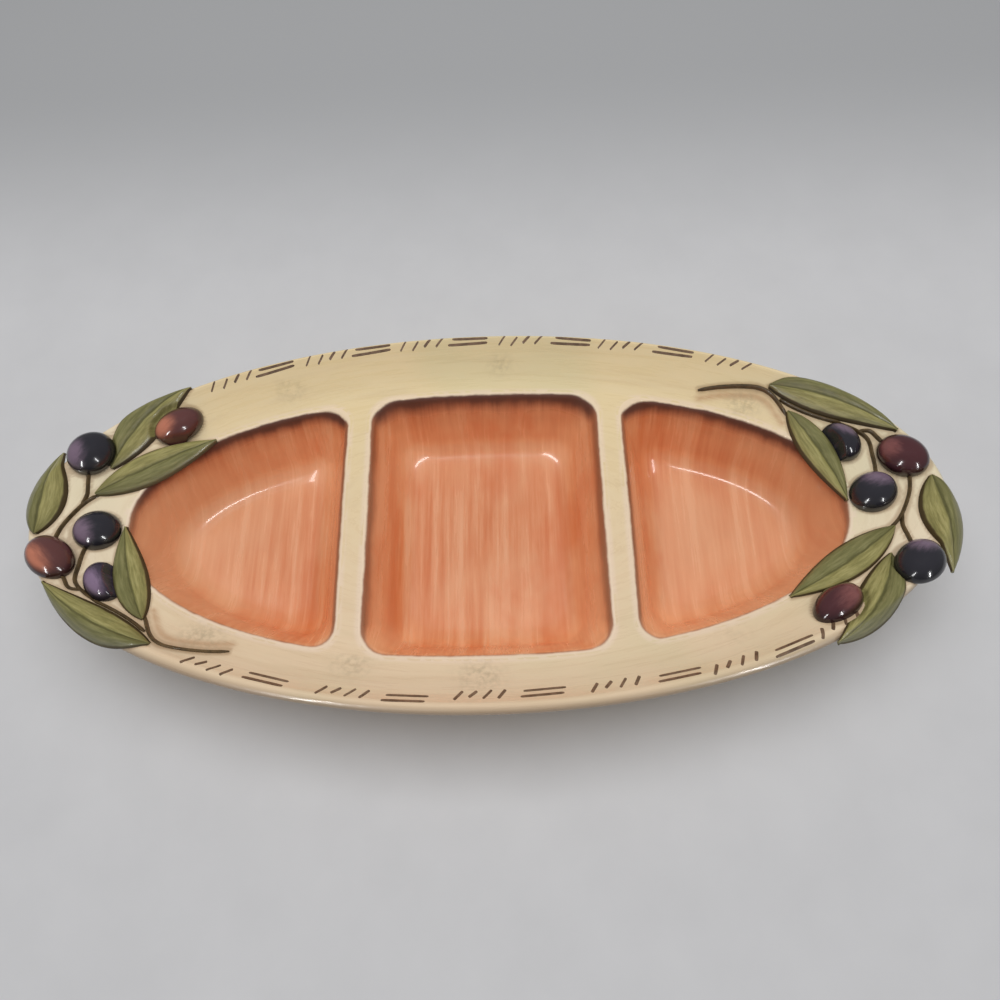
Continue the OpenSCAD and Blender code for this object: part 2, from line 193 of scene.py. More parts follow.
def oval_way(a, inset):
    power = 2 - 2 / OVAL_POWER
    x = math.cos(a) ** power / (WELLS_LENGTH / 2 - inset)
    y = math.sin(a) ** power / (WELLS_WIDTH / 2 - inset)
    return np.array([x, y]) / math.hypot(x, y)


def oval_angle(a, inset):
    x, y = oval_way(a, inset)
    return math.atan2(y, x)


def corner_mid(a, inset, radius):
    return oval(a, inset) - radius * oval_way(a, inset)


def corner_turn(x, inset, radius):
    """The turn on the oval at which a corner's round begins, found by halving."""
    low = 0.0
    high = math.pi / 2
    for _ in range(HALVINGS):
        a = (low + high) / 2
        if corner_mid(a, inset, radius)[0] > x:
            low = a
        else:
            high = a
    return (low + high) / 2


def side_turn(inset):
    return corner_turn(DIVIDER_OUT + inset + SIDE_CORNER, inset, SIDE_CORNER)


def middle_turn(inset):
    return corner_turn(DIVIDER_IN - inset - MIDDLE_CORNER, inset, MIDDLE_CORNER)


def around(mid, radius, turns):
    return mid + radius * np.stack([np.cos(turns), np.sin(turns)], -1)


def side_ring(inset):
    """Outline of the well at +X: the oval's arc, the back corner, the divider's side, the front corner."""
    a = side_turn(inset)
    arc = oval(np.linspace(-a, a, ARC_STEPS + 1), inset)
    turns = np.linspace(oval_angle(a, inset), math.pi, CORNER_STEPS + 1)[1:]
    back = around(corner_mid(a, inset, SIDE_CORNER), SIDE_CORNER, turns)
    front = back[::-1] * [1, -1]
    between = np.linspace(back[-1], front[0], SIDE_STEPS + 1)[1:-1]
    return np.concatenate([arc, back, between, front])


def middle_ring(inset):
    """Outline of the middle well: its back half and left side, and the same turned round."""
    a = middle_turn(inset)
    turns = np.linspace(0, oval_angle(a, inset), CORNER_STEPS + 1)[:-1]
    corner = around(corner_mid(a, inset, MIDDLE_CORNER), MIDDLE_CORNER, turns)
    arc = oval(np.linspace(a, math.pi - a, MIDDLE_STEPS + 1), inset)
    far_corner = corner[::-1] * [-1, 1]
    left = np.linspace(far_corner[-1], far_corner[-1] * [1, -1], SIDE_STEPS + 1)[1:-1]
    half = np.concatenate([corner, arc, far_corner, left])
    return np.concatenate([half, -half])


def well_ring(which, inset):
    if which == "middle":
        return middle_ring(inset)
    if which == "right":
        return side_ring(inset)
    return -side_ring(inset)


def wall_section(out, down):
    """Inset and depth of a wall's floor fillet, moved out sideways and down: the foot, and rows going up."""
    depth = WELL_DEPTH + down
    radius = FLOOR_RADIUS + out
    shift = -out / math.cos(WALL_LEAN)
    foot = shift + depth * math.tan(WALL_LEAN) + radius * math.tan(WALL_STEEP / 2)
    turns = WALL_STEEP * np.arange(FILLET_STEPS + 1) / FILLET_STEPS
    insets = foot - radius * np.sin(turns)
    depths = depth - radius + radius * np.cos(turns)
    return insets, depths, turns, shift


def well_rows():
    """Rings of the wells' section from the lip down to the edge of the floor: inset, depth and steepness."""
    turns = WALL_STEEP * np.arange(LIP_STEPS + 1) / LIP_STEPS
    rows = [(LIP_INSET + LIP_ROUND * math.sin(t), LIP_ROUND * (1 - math.cos(t)), t) for t in turns]
    insets, depths, steep, _ = wall_section(0.0, 0.0)
    for depth in np.linspace(rows[-1][1], depths[-1], WALL_STEPS + 2)[1:-1]:
        rows.append((depth * math.tan(WALL_LEAN), depth, WALL_STEEP))
    for k in range(FILLET_STEPS, -1, -1):
        rows.append((insets[k], depths[k], steep[k]))
    return rows


WELL_ROWS = well_rows()
FLOOR_MIDDLES = {"left": (-108.0, 0.0), "middle": (0.0, 0.0), "right": (108.0, 0.0)}


def well_sheet(which, lifts):
    """Rings of a well's wall and floor, raised off the clay by each row's lift and then by the last one."""
    lip = well_ring(which, LIP_INSET)
    raised = rim_over(lip) - LIP_Z
    rings = []
    for (inset, depth, steep), lift in zip(WELL_ROWS, lifts):
        deep = depth - lift * math.cos(steep)
        ring = well_ring(which, inset + lift * math.sin(steep))
        z = LIP_Z - deep + raised * max(0.0, 1 - depth / LIP_FADE)
        rings.append(np.column_stack([ring, z]))
    middle = np.array([*FLOOR_MIDDLES[which], rings[-1][0, 2]])
    edge = rings[-1]
    for k in range(1, FLOOR_STEPS + 1):
        rings.append(middle + (edge - middle) * (1 - k / FLOOR_STEPS))
    return np.array(rings)


class Clay:
    """Patches of a piece in millimetres, with the values painted on their points."""

    def __init__(self):
        self.points = []
        self.faces = []
        self.values = {}
        self.count = 0

    def add(self, points, faces, **values):
        points = np.asarray(points, float).reshape(-1, 3)
        self.faces += [tuple(i + self.count for i in face) for face in faces]
        self.points.append(points)
        for name, value in values.items():
            self.values.setdefault(name, []).append((self.count, np.asarray(value, float)))
        self.count += len(points)

    def grid(self, rings, closed=True, looped=False, **values):
        """A sheet of rings; closed joins each ring's ends, and looped joins the last ring to the first."""
        rings = np.asarray(rings, float)
        rows, count = rings.shape[:2]
        faces = []
        for i in range(rows if looped else rows - 1):
            j = (i + 1) % rows
            for k in range(count if closed else count - 1):
                m = (k + 1) % count
                faces.append((i * count + k, j * count + k, j * count + m, i * count + m))
        self.add(rings, faces, **values)

    def cap(self, ring, **values):
        self.add(ring, [tuple(range(len(ring)))], **values)


# Edges sharper than this many degrees stay sharp
DISH_CREASE = 40.0
LEAF_CREASE = 60.0
OLIVE_CREASE = 75.0
STEM_CREASE = 70.0


def make_piece(name, clay, material, nodes, crease=DISH_CREASE):
    """Joins the patches into one closed skin, paints its values on it and sets it in the frame."""
    points = np.concatenate(clay.points)
    mesh = bpy.data.meshes.new(name)
    mesh.from_pydata((points * MM).tolist(), [], clay.faces)
    for key, parts in clay.values.items():
        wide = parts[0][1].ndim > 1
        filled = np.zeros((len(points), 3)) if wide else np.full(len(points), FAR_AWAY)
        for start, value in parts:
            filled[start:start + len(value)] = value
        layer = mesh.attributes.new(key, "FLOAT_VECTOR" if wide else "FLOAT", "POINT")
        layer.data.foreach_set("vector" if wide else "value", filled.ravel())
    work = bmesh.new()
    work.from_mesh(mesh)
    bmesh.ops.remove_doubles(work, verts=work.verts, dist=MERGE_GAP * MM)
    bmesh.ops.dissolve_degenerate(work, edges=work.edges, dist=THIN_FACE * MM)
    bmesh.ops.recalc_face_normals(work, faces=work.faces)
    work.to_mesh(mesh)
    work.free()
    mesh.shade_smooth()
    mesh.set_sharp_from_angle(angle=math.radians(crease))
    return set_in_frame(name, mesh, material, nodes)


def set_in_frame(name, mesh, material, nodes):
    piece = bpy.data.objects.new(name, mesh)
    bpy.context.scene.collection.objects.link(piece)
    mesh.materials.clear()
    mesh.materials.append(material)
    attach(piece, "root")
    if nodes:
        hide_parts(*nodes)
    return piece


# Sprig layout, for the end at -X, in hundredths of the sprig's length and of half the rim's width.
# Leaf rows: base, tip, width, bow to the left, its paler half, the pieces over it
LEAVES = {
    "well_leaf": ((24.3, 14.9), (72, 47), 14, 1.3, 1, ("shoulder_olive", "middle_olive")),
    "inner_leaf": ((57, -51.2), (39, -1.7), 13, 2.3, -1, ("middle_olive",)),
    "end_leaf": ((5.8, -8.7), (5.4, 38.6), 16.5, 0.6, -1, ("shoulder_olive", "end_olive")),
    "upper_leaf": ((29, 29), (60.5, 72.2), 14.5, 4.4, -1, ("well_leaf", "shoulder_olive", "upper_olive")),
    "lower_leaf": ((64, -64.4), (14.6, -33.8), 13.5, 3.7, -1, ("end_olive", "inner_leaf", "main_stem")),
}

# Olive rows: middle, length, width, turn of its long axis, glaze on the left and right, the pieces over it
OLIVES = {
    "upper_olive": ((55.2, 53.1), 23, 15, 33, "plum", "maroon", ("well_leaf",)),
    "shoulder_olive": ((20.4, 35.2), 21, 18.5, 45, "navy", "navy", ()),
    "middle_olive": ((27.8, -4.6), 20, 18, 20, "navy", "navy", ()),
    "end_olive": ((13.9, -20.6), 22, 17.5, -40, "plum", "maroon", ("middle_olive",)),
    "tucked_olive": ((36.5, -32.1), 19, 15, -55, "violet", "navy",
                     ("inner_leaf", "middle_olive", "end_olive")),
}
LEAF_POWER = 0.85
LEAF_BLUNT = 0.5
FORK_START = 0.1
FORK_END = 0.62
FORK_ROWS = 5
STALK_START = 0.6
STALK_BESIDE = 0.84


def laid(p):
    return np.array([p[0] * SPRIG_LENGTH / 100, p[1] * RIM_WIDTH / 200])


def left_of(way):
    return np.array([-way[1], way[0]]) / np.hypot(*way)


def leaf_spine(name, u):
    base = laid(LEAVES[name][0])
    tip = laid(LEAVES[name][1])
    bow = LEAVES[name][3] * SPRIG_LENGTH / 100
    return base + u * (tip - base) + 4 * u * (1 - u) * bow * left_of(tip - base)


def leaf_half(name, u):
    full = max(0.0, math.sin(math.pi * min(1.0, max(0.0, u)) ** LEAF_POWER))
    return max(LEAF_BLUNT, LEAVES[name][2] / 2 * full ** LEAF_POWER)


def leaf_point(name, u, share, grow=0.0):
    along = leaf_spine(name, u + SPINE_STEP) - leaf_spine(name, u - SPINE_STEP)
    reach = share * leaf_half(name, u) + math.copysign(grow, share)
    return leaf_spine(name, u) + reach * left_of(along)


def stem_routes():
    """Points that each stem runs through, and the pieces over it."""
    fork_steps = FORK_START + (FORK_END - FORK_START) * np.arange(FORK_ROWS + 1) / FORK_ROWS
    fork = [leaf_point("lower_leaf", u, -1, STEM_WIDTH / 2 + SEAT_GAP) for u in fork_steps]
    turn = laid((26.5, -33.2))
    main = [(94.7, -67.2), (85.8, -67.4), (76, -66.4), (67.8, -64.2), (62, -59.1), (56.4, -48.1)]
    middle = [fork[-1], turn, laid((25.1, -23.5)), laid((25.1, -15.5)), laid((26.5, -8))]
    beside = leaf_point("lower_leaf", STALK_BESIDE, -1, STEM_WIDTH + SEAT_GAP)
    end = [fork[-1] + STALK_START * (turn - fork[-1]), beside, laid((21.5, -30.9)), laid((17, -24.1))]
    upper = [(13.2, -14.9), (13.4, -8), (15.2, -0.7), (19.7, 8.6), (24.5, 14.3), (29, 17.2)]
    shoulder = [(19.4, 8), (20.8, 14.3), (20.4, 20.6), (20, 28.7)]
    return {
        "main_stem": ([laid(p) for p in main], ("inner_leaf",)),
        "fork_stem": (fork, ("main_stem", "inner_leaf", "tucked_olive")),
        "middle_stalk": (middle, ("lower_leaf", "middle_olive", "tucked_olive", "end_olive")),
        "end_stalk": (end, ("lower_leaf", "end_olive")),
        "upper_stem": ([laid(p) for p in upper], ("end_olive", "well_leaf", "end_leaf", "middle_olive")),
        "shoulder_stalk": ([laid(p) for p in shoulder], ("shoulder_olive", "well_leaf", "end_leaf")),
    }


STEMS = stem_routes()


def smooth_line(points, steps=6):
    """A smooth line through points, with a knot added past each end."""
    knots = [2 * points[0] - points[1], *points, 2 * points[-1] - points[-2]]
    line = []
    for a, b, c, d in zip(knots, knots[1:], knots[2:], knots[3:]):
        for t in np.arange(steps) / steps:
            bend = (2 * a - 5 * b + 4 * c - d) * t * t + (3 * b - a - 3 * c + d) * t ** 3
            line.append(0.5 * (2 * b + (c - a) * t + bend))
    return np.array([*line, points[-1]])


def line_sides(line):
    """Unit vectors to the left of a line at each of its points."""
    ways = np.gradient(line, axis=0)
    ways /= np.linalg.norm(ways, axis=1)[:, None]
    return np.column_stack([-ways[:, 1], ways[:, 0]])


def olive_ring(length, width, turn, ring):
    """Points round an olive's outline, about its middle."""
    t = math.radians(turn)
    x = length / 2 * np.cos(ring)
    y = width / 2 * np.sin(ring)
    return np.column_stack([math.cos(t) * x - math.sin(t) * y, math.sin(t) * x + math.cos(t) * y])


def piece_outline(name):
    """Outline of a sprig piece in the layout, as seen from above."""
    if name in LEAVES:
        steps = np.linspace(0, 1, OUTLINE_STEPS + 1)
        right = [leaf_point(name, u, -1) for u in steps]
        left = [leaf_point(name, u, 1) for u in steps[::-1]]
        return np.array(right + left)
    if name in OLIVES:
        middle, length, width, turn = OLIVES[name][:4]
        ring = np.linspace(0, 2 * math.pi, 2 * OUTLINE_STEPS, endpoint=False)
        return laid(middle) + olive_ring(length, width, turn, ring)
    line = smooth_line(STEMS[name][0])
    sides = line_sides(line) * STEM_WIDTH / 2
    return np.concatenate([line - sides, (line + sides)[::-1]])


SPRIG = [*LEAVES, *OLIVES, *STEMS]
OUTLINES = {name: piece_outline(name) for name in SPRIG}


def gap_outside(points, outline):
    """Distance of points outside a closed outline, and minus the distance of those inside it."""
    a = outline
    b = np.roll(outline, -1, axis=0)
    ways = b - a
    reach = points[:, None, :] - a[None]
    t = np.clip((reach * ways).sum(-1) / np.maximum((ways ** 2).sum(-1), TINY), 0, 1)
    gaps = np.linalg.norm(reach - t[..., None] * ways, axis=-1).min(1)
    above = (a[None, :, 1] > points[:, None, 1]) != (b[None, :, 1] > points[:, None, 1])
    rise = np.where(np.abs(ways[:, 1]) < TINY, TINY, ways[:, 1])
    cross = a[None, :, 0] + (points[:, None, 1] - a[None, :, 1]) / rise * ways[:, 0]
    inside = (above & (points[:, None, 0] < cross)).sum(1) % 2 == 1
    return np.where(inside, -gaps, gaps)


def tuck(points, over, reach):
    """How much of its height a piece keeps near the pieces that lie over it: none under them."""
    keep = np.ones(len(points))
    for name in over:
        keep = np.minimum(keep, smooth_step(gap_outside(points, OUTLINES[name]) / reach))
    return keep


def lean_of(side):
    return SPRIG_LEAN if side == "left" else -SPRIG_LEAN


def set_down(points, side):
    """Layout points set on the rim's end at -X, with the lean of that side's sprig."""
    x = points[:, 0] - RIM_LENGTH / 2 + lean_of(side) * (points[:, 1] - LEAN_MIDDLE)
    return np.column_stack([x, points[:, 1]])


def turned(points, side):
    """The right-hand sprig is the same one, turned half round."""
    points = np.array(points, float)
    if side == "right":
        points[:, :2] *= -1
    return points


def laid_on_rim(points, lift, side):
    """Layout points on that side's end of the rim, each at its height above it."""
    place = set_down(points, side)
    return turned(np.column_stack([place, rim_over(place) + lift]), side)


def brush_seed(name, side, step, shift):
    """Gives each piece a place of its own in the brush marks."""
    return step * SPRIG.index(name) + (shift if side == "right" else 0.0)


# Small forms of a leaf: steps, its rounded edge from below, its rib and ripples, and where it is tucked in
LEAF_ROWS = 55
LEAF_COLUMNS = 27
LEAF_SIDE = 0.97
EDGE_GROWTH = (0.0, 0.3, 0.28)
EDGE_LIFTS = (-0.3, 0.1, 0.6)
NO_LIMIT = 9.0
BLADE_END = 0.02
RIB_SPREAD = 0.13
RIPPLE_HEIGHT = 0.12
RIPPLES = 9
LEAF_TUCKED = 0.25
LEAF_TUCK = 1.0
LEAF_STREAK = 11
LEAF_HAIR = 1.3


def leaf_clay(name, side):
    """A leaf with two domed halves, a grooved midrib and rounded edges, laid over the rim."""
    base, tip, width, _, pale, over = LEAVES[name]
    edge = np.ones(len(EDGE_LIFTS))
    shares = np.concatenate([-edge, np.linspace(-LEAF_SIDE, LEAF_SIDE, LEAF_COLUMNS), edge])
    grows = np.concatenate([EDGE_GROWTH, np.zeros(LEAF_COLUMNS), EDGE_GROWTH[::-1]])
    limits = np.concatenate([EDGE_LIFTS, np.full(LEAF_COLUMNS, NO_LIMIT), EDGE_LIFTS[::-1]])
    count = len(shares)
    steps = np.linspace(0, 1, LEAF_ROWS)
    rows = []
    lifts = []
    for u in steps:
        full = math.sqrt(max(0.0, math.sin(math.pi * (BLADE_END + (1 - 2 * BLADE_END) * u))))
        dome = LEAF_EDGE + (LEAF_HEIGHT - LEAF_EDGE) * full * (1 - shares ** 4)
        dome = dome - MIDRIB_DEPTH * full * np.exp(-(shares / RIB_SPREAD) ** 2)
        ripple = np.sin(RIPPLES * math.pi * u + 3 * np.abs(shares))
        dome = dome + RIPPLE_HEIGHT * full * ripple * (1 - shares ** 2)
        rows.append([leaf_point(name, u, s, g) for s, g in zip(shares, grows)])
        lifts.append(np.minimum(dome, limits))
    flat = np.array(rows).reshape(-1, 2)
    lift = np.array(lifts).ravel()
    keep = tuck(flat, over, LEAF_TUCK)
    lift = np.where(lift > 0, LEAF_TUCKED + (lift - LEAF_TUCKED) * keep, lift)
    points = laid_on_rim(flat, lift, side).reshape(-1, count, 3)
    across = np.tile(shares * pale, LEAF_ROWS)
    along = np.repeat(steps, count)
    length = np.hypot(*(laid(tip) - laid(base)))
    seed = np.full(len(along), brush_seed(name, side, step=3.1, shift=1.7))
    brush = np.column_stack([along * length / LEAF_STREAK, across * (width / 2) / LEAF_HAIR, seed])
    values = {"across": across, "along": along, "brush": brush}
    clay = Clay()
    clay.grid(points, **values)
    clay.cap(points[0], **{key: value[:count] for key, value in values.items()})
    clay.cap(points[-1], **{key: value[-count:] for key, value in values.items()})
    return clay


# The way the painted sheen on each olive's cheek faces, and how narrow that cheek is
CHEEKS = {
    "left": {
        "upper_olive": ((-0.48, -0.37, 0.79), 2.3), "shoulder_olive": ((-0.6, -0.32, 0.73), 1.3),
        "middle_olive": ((-0.52, -0.36, 0.78), 1.3), "end_olive": ((-0.5, -0.48, 0.72), 1.3),
        "tucked_olive": ((-0.48, -0.44, 0.76), 1.2)},
    "right": {
        "upper_olive": ((0.62, 0.2, 0.76), 0.75), "shoulder_olive": ((0.1, 0.85, 0.52), 1.6),
        "middle_olive": ((0.1, 0.75, 0.65), 1.25), "end_olive": ((-0.8, 0.2, 0.56), 2.0),
        "tucked_olive": ((0.2, 0.7, 0.68), 1.6)},
}


def rim_slope(x, y):
    step = 0.5
    rise_x = (rim_top(x + step, y) - rim_top(x - step, y)) / (2 * step)
    rise_y = (rim_top(x, y + step) - rim_top(x, y - step)) / (2 * step)
    return np.array([float(rise_x), float(rise_y)])


# Small forms of an olive: its steps, the depth of its lower half, its fuller end, and where it is tucked in
OLIVE_ROWS = 33
OLIVE_COLUMNS = 56
OLIVE_UNDER = 4.5
OLIVE_PEAR = 0.035
OLIVE_TUCKED = 0.35
OLIVE_TUCK = 0.9
OLIVE_BRUSH = (1.6, 4.5, 3.0)


def olive_clay(name, side):
    """A full olive set on the rim's slope, drawn down under the leaves that lie over it."""
    middle, length, width, turn = OLIVES[name][:4]
    over = [n for n in OLIVES[name][6] if n in LEAVES]
    mid = set_down(laid(middle)[None], side)[0]
    slope = rim_slope(*mid)
    reach = olive_ring(length, width, turn, np.radians(np.arange(0, 360, 15)))
    rise = rim_top(mid[0] + reach[:, 0], mid[1] + reach[:, 1]) - rim_top(*mid) - reach @ slope
    seat = max(0.0, float(rise.max())) + SEAT_GAP
    tilt = Matrix.Rotation(math.atan(np.hypot(*slope)), 3, Vector((slope[1], -slope[0], 0)))
    spin = np.array(tilt @ Matrix.Rotation(math.radians(turn), 3, "Z"))
    downs = np.linspace(0, math.pi, OLIVE_ROWS)
    rounds = np.linspace(0, 2 * math.pi, OLIVE_COLUMNS, endpoint=False)
    down, turns = np.meshgrid(downs, rounds, indexing="ij")
    ball = [np.sin(down) * np.cos(turns), np.sin(down) * np.sin(turns), np.cos(down)]
    ball = np.stack(ball, -1).reshape(-1, 3)
    tall = np.where(ball[:, 2] > 0, OLIVE_HEIGHT, OLIVE_UNDER)
    body = ball * np.column_stack([np.full(len(ball), length / 2), np.full(len(ball), width / 2), tall])
    body[:, :2] *= 1 + OLIVE_PEAR * ball[:, :1]
    points = body @ spin.T + [mid[0], mid[1], float(rim_top(*mid)) + seat]
    if over:
        along = points[:, 0] + RIM_LENGTH / 2 - lean_of(side) * (points[:, 1] - LEAN_MIDDLE)
        flat = np.column_stack([along, points[:, 1]])
        floor = rim_over(points) + OLIVE_TUCKED
        keep = tuck(flat, over, OLIVE_TUCK)
        lowered = floor + (points[:, 2] - floor) * keep
        points[:, 2] = np.where(points[:, 2] > floor, lowered, points[:, 2])
    outward = ball @ spin.T
    points = turned(points, side)
    outward = turned(outward, side)
    way, narrow = CHEEKS[side][name]
    cheek = np.clip(1 - narrow * (1 - outward @ np.array(way)), 0, 1)
    crown = np.clip(ball[:, 2], 0, 1)
    brush = ball * OLIVE_BRUSH + [brush_seed(name, side, step=2.3, shift=1.1), 0, 0]
    clay = Clay()
    clay.grid(points.reshape(OLIVE_ROWS, OLIVE_COLUMNS, 3), cheek=cheek, crown=crown, brush=brush)
    return clay


# Stems are drawn a little finer than their solids, half round, and thin towards their ends
STEM_DRAWN = 1.4
STEM_TIP = 0.55
STEM_SWELL = 0.25
STEM_TURNS = np.radians([180, 158, 134, 112, 90, 68, 46, 22, 0])
STEM_OUTS = np.concatenate([-np.cos(STEM_TURNS), [0.8, -0.8]])
STEM_UPS = np.concatenate([np.sin(STEM_TURNS), [-0.3, -0.3]])
STEM_TUCKED = 0.1
STEM_TUCK = 0.8


def stem_clay(name, side):
    """A stem laid along the rim, drawn down under the leaves that lie over it."""
    points, over = STEMS[name]
    line = smooth_line(points)
    sides = line_sides(line)
    count = len(line)
    ends = np.minimum(np.arange(count), np.arange(count)[::-1])
    thick = np.clip(STEM_TIP + STEM_SWELL * ends, 0, 1)
    reach = (STEM_OUTS * STEM_DRAWN / 2)[None, :, None] * thick[:, None, None]
    flat = (line[:, None] - sides[:, None] * reach).reshape(-1, 2)
    lift = np.where(STEM_UPS > 0, STEM_UPS * STEM_HEIGHT * thick[:, None], STEM_UPS).ravel()
    keep = tuck(flat, [n for n in over if n in LEAVES], STEM_TUCK)
    lift = np.where(lift > STEM_TUCKED, STEM_TUCKED + (lift - STEM_TUCKED) * keep, lift)
    points = laid_on_rim(flat, lift, side).reshape(count, -1, 3)
    clay = Clay()
    clay.grid(points)
    clay.cap(points[0])
    clay.cap(points[-1])
    return clay


def sprig_points():
    """Where the edges of both sprigs lie on the rim."""
    edges = []
    for side in ("left", "right"):
        for name in SPRIG:
            outline = OUTLINES[name]
            dense = np.concatenate([outline, (outline + np.roll(outline, -1, axis=0)) / 2])
            edges.append(turned(set_down(dense, side), side))
    return np.concatenate(edges)


SPRIG_EDGES = sprig_points()


def nearest(points, marks):
    """Distance of points from the nearest mark, worked out in parts to save memory."""
    parts = np.array_split(points, 1 + len(points) // PART_SIZE)
    return np.concatenate([np.sqrt(((part[:, None] - marks[None]) ** 2).sum(-1).min(1)) for part in parts])


# How the brush marks run in the cream glaze, and where the soft brown line beside each main stem lies
BRUSH_ROUND = 5.2
BRUSH_ACROSS = 4.5
STEM_LINE_GAP = 3.4
STEM_LINE_WIDTH = 1.5

# Soft smudges of colour that the brush left on the rim: place and reach in millimetres, strength
SMUDGE_STRETCH = 1.4
SMUDGE_EDGE = 1.4
SMUDGES = [
    (-90.7, 64.5, 6.0, 0.7), (8.4, 75.2, 5.5, 0.6), (120.0, 51.0, 8.0, 0.7), (-118.0, -52.5, 9.0, 0.8),
    (-55.0, -64.7, 8.0, 0.7), (-2.6, -70.6, 9.0, 0.8), (101.0, -56.0, 8.0, 0.25),
]


def plan(points):
    return np.asarray(points).reshape(-1, 3)[:, :2]


def plain_paint(points):
    """Values for the cream glaze away from the sprigs: the brush went round the rim."""
    flat = plan(points)
    turn = np.arctan2(flat[:, 1] / RIM_RATIO, flat[:, 0])
    r = rim_radius(flat[:, 0], flat[:, 1])
    brush = np.column_stack([BRUSH_ROUND * np.cos(turn), BRUSH_ROUND * np.sin(turn), r / BRUSH_ACROSS])
    none = np.zeros(len(flat))
    away = np.full(len(flat), FAR_AWAY)
    return {"brush": brush, "sprig": away, "lip": away, "smudge": none, "stem_line": none, "roll": none}


def lip_gap(points):
    """Distance of points from the lip of the nearest well."""
    lips = [well_ring(which, LIP_INSET) for which in FLOOR_MIDDLES]
    return np.min([np.abs(gap_outside(plan(points), lip)) for lip in lips], axis=0)


def rim_paint(points):
    """The same on the rim's upper face, with the gap to the sprigs, smudges and a soft brown line by each
    main stem.
    """
    flat = plan(points)
    smudge = np.zeros(len(flat))
    for x, y, reach, strength in SMUDGES:
        gap = np.hypot((flat[:, 0] - x) / SMUDGE_STRETCH, flat[:, 1] - y)
        smudge = np.maximum(smudge, strength * np.exp(-(gap / reach * SMUDGE_EDGE) ** 2))
    stem_line = np.zeros(len(flat))
    for side in ("left", "right"):
        stem = smooth_line(STEMS["main_stem"][0])
        beside = turned(set_down(stem - line_sides(stem) * STEM_LINE_GAP, side), side)
        stem_line = np.maximum(stem_line, np.exp(-(nearest(flat, beside) / STEM_LINE_WIDTH) ** 2))
    sprig = nearest(flat, SPRIG_EDGES)
    return {**plain_paint(points), "sprig": sprig, "lip": lip_gap(points), "smudge": smudge, "stem_line": stem_line}


def lip_turns():
    """Turns on the oval, all round, that meet the points of the wells' lips."""
    side = side_turn(LIP_INSET)
    mid = middle_turn(LIP_INSET)
    pi = math.pi
    marks = [-side, side, mid, pi - mid, pi - side, pi + side, pi + mid, 2 * pi - mid, 2 * pi - side]
    steps = [ARC_STEPS, DIVIDER_STEPS, MIDDLE_STEPS, DIVIDER_STEPS] * 2
    spans = zip(marks, marks[1:], steps)
    return np.concatenate([np.linspace(a, b, count + 1)[:-1] for a, b, count in spans])


def outer_rings():
    """Rings of the dish from the lips out over the rim, round its edge, and down its outside to the base."""
    turns = lip_turns()
    lips = oval(turns, LIP_INSET)
    start = rim_radius(lips[:, 0], lips[:, 1])
    angle = np.arctan2(lips[:, 1] / RIM_RATIO, lips[:, 0])
    crest = roll_crest(np.cos(angle) * CREST_R, np.sin(angle) * RIM_RATIO * CREST_R)
    widen = (EDGE_OUT_R - crest) / (EDGE_OUT_R - CREST_R)

    def on_rim(r, z):
        x = r * np.cos(angle)
        y = r * RIM_RATIO * np.sin(angle)
        return np.column_stack([x, y, np.broadcast_to(z, len(turns))])

    tops = []
    for s in np.linspace(0, 1, TOP_STEPS + 1):
        ring = on_rim(start + (crest - start) * s, 0.0)
        ring[:, 2] = rim_over(ring)
        tops.append(ring)
    rings = []
    for s in np.linspace(0, 1, EDGE_STEPS + 1)[1:]:
        a = math.pi / 2 + CREST_ANGLE - math.pi * s
        back = EDGE_RADIUS * (1 - math.cos(a)) * (widen if a > 0 else np.ones(len(turns)))
        rings.append(on_rim(EDGE_OUT_R - back, EDGE_MID_Z + EDGE_RADIUS * math.sin(a)))
    insets, depths, _, shift = wall_section(WALL_THICKNESS, FLOOR_THICKNESS)
    joint_depth = RIM_THICKNESS - (rim_over(oval(turns, JOINT_INSET)) - LIP_Z)

    def on_wall(depth):
        return np.column_stack([oval(turns, shift + depth * math.tan(WALL_LEAN)), LIP_Z - depth])

    joint = on_wall(joint_depth)
    inner = rim_radius(joint[:, 0], joint[:, 1]) + JOINT_REACH
    outer = CREST_R + 2 * EDGE_RADIUS * math.sin(CREST_ANGLE)
    for s in np.linspace(0, 1, UNDER_STEPS + 1)[1:]:
        r = outer + (inner - outer) * s
        rings.append(on_rim(r, rim_height(np.minimum(r, CREST_R)) - RIM_THICKNESS))
    above = rings[-1]
    below_depth = joint_depth + JOINT_REACH
    below = on_wall(below_depth)
    for s in np.linspace(0, 1, JOINT_STEPS + 1)[1:]:
        rings.append((1 - s) ** 2 * above + 2 * s * (1 - s) * joint + s * s * below)
    for s in np.linspace(0, 1, OUTSIDE_STEPS + 1)[1:]:
        rings.append(on_wall(below_depth + (depths[-1] - below_depth) * s))
    for k in range(FILLET_STEPS - 1, -1, -1):
        ring = oval(turns, insets[k])
        rings.append(np.column_stack([ring, np.full(len(turns), LIP_Z - depths[k])]))
    return np.array(tops), np.array([tops[-1], *rings])


def divider_top():
    """The top of the divider at +X, between the lips of the middle and the right-hand well."""
    side = side_ring(LIP_INSET)
    mid = middle_ring(LIP_INSET)
    steps = 2 * CORNER_STEPS + SIDE_STEPS
    outside = side[[(ARC_STEPS + k) % len(side) for k in range(steps + 1)]]
    inside = mid[[(CORNER_STEPS - k) % len(mid) for k in range(steps + 1)]]
    share = np.linspace(0, 1, DIVIDER_STEPS + 1)
    rows = outside[:, None] + (inside - outside)[:, None] * share[None, :, None]
    back = oval(np.linspace(side_turn(LIP_INSET), middle_turn(LIP_INSET), DIVIDER_STEPS + 1), LIP_INSET)
    rows[0] = back
    rows[-1] = back * [1, -1]
    return np.concatenate([rows, rim_over(rows)[..., None]], -1)


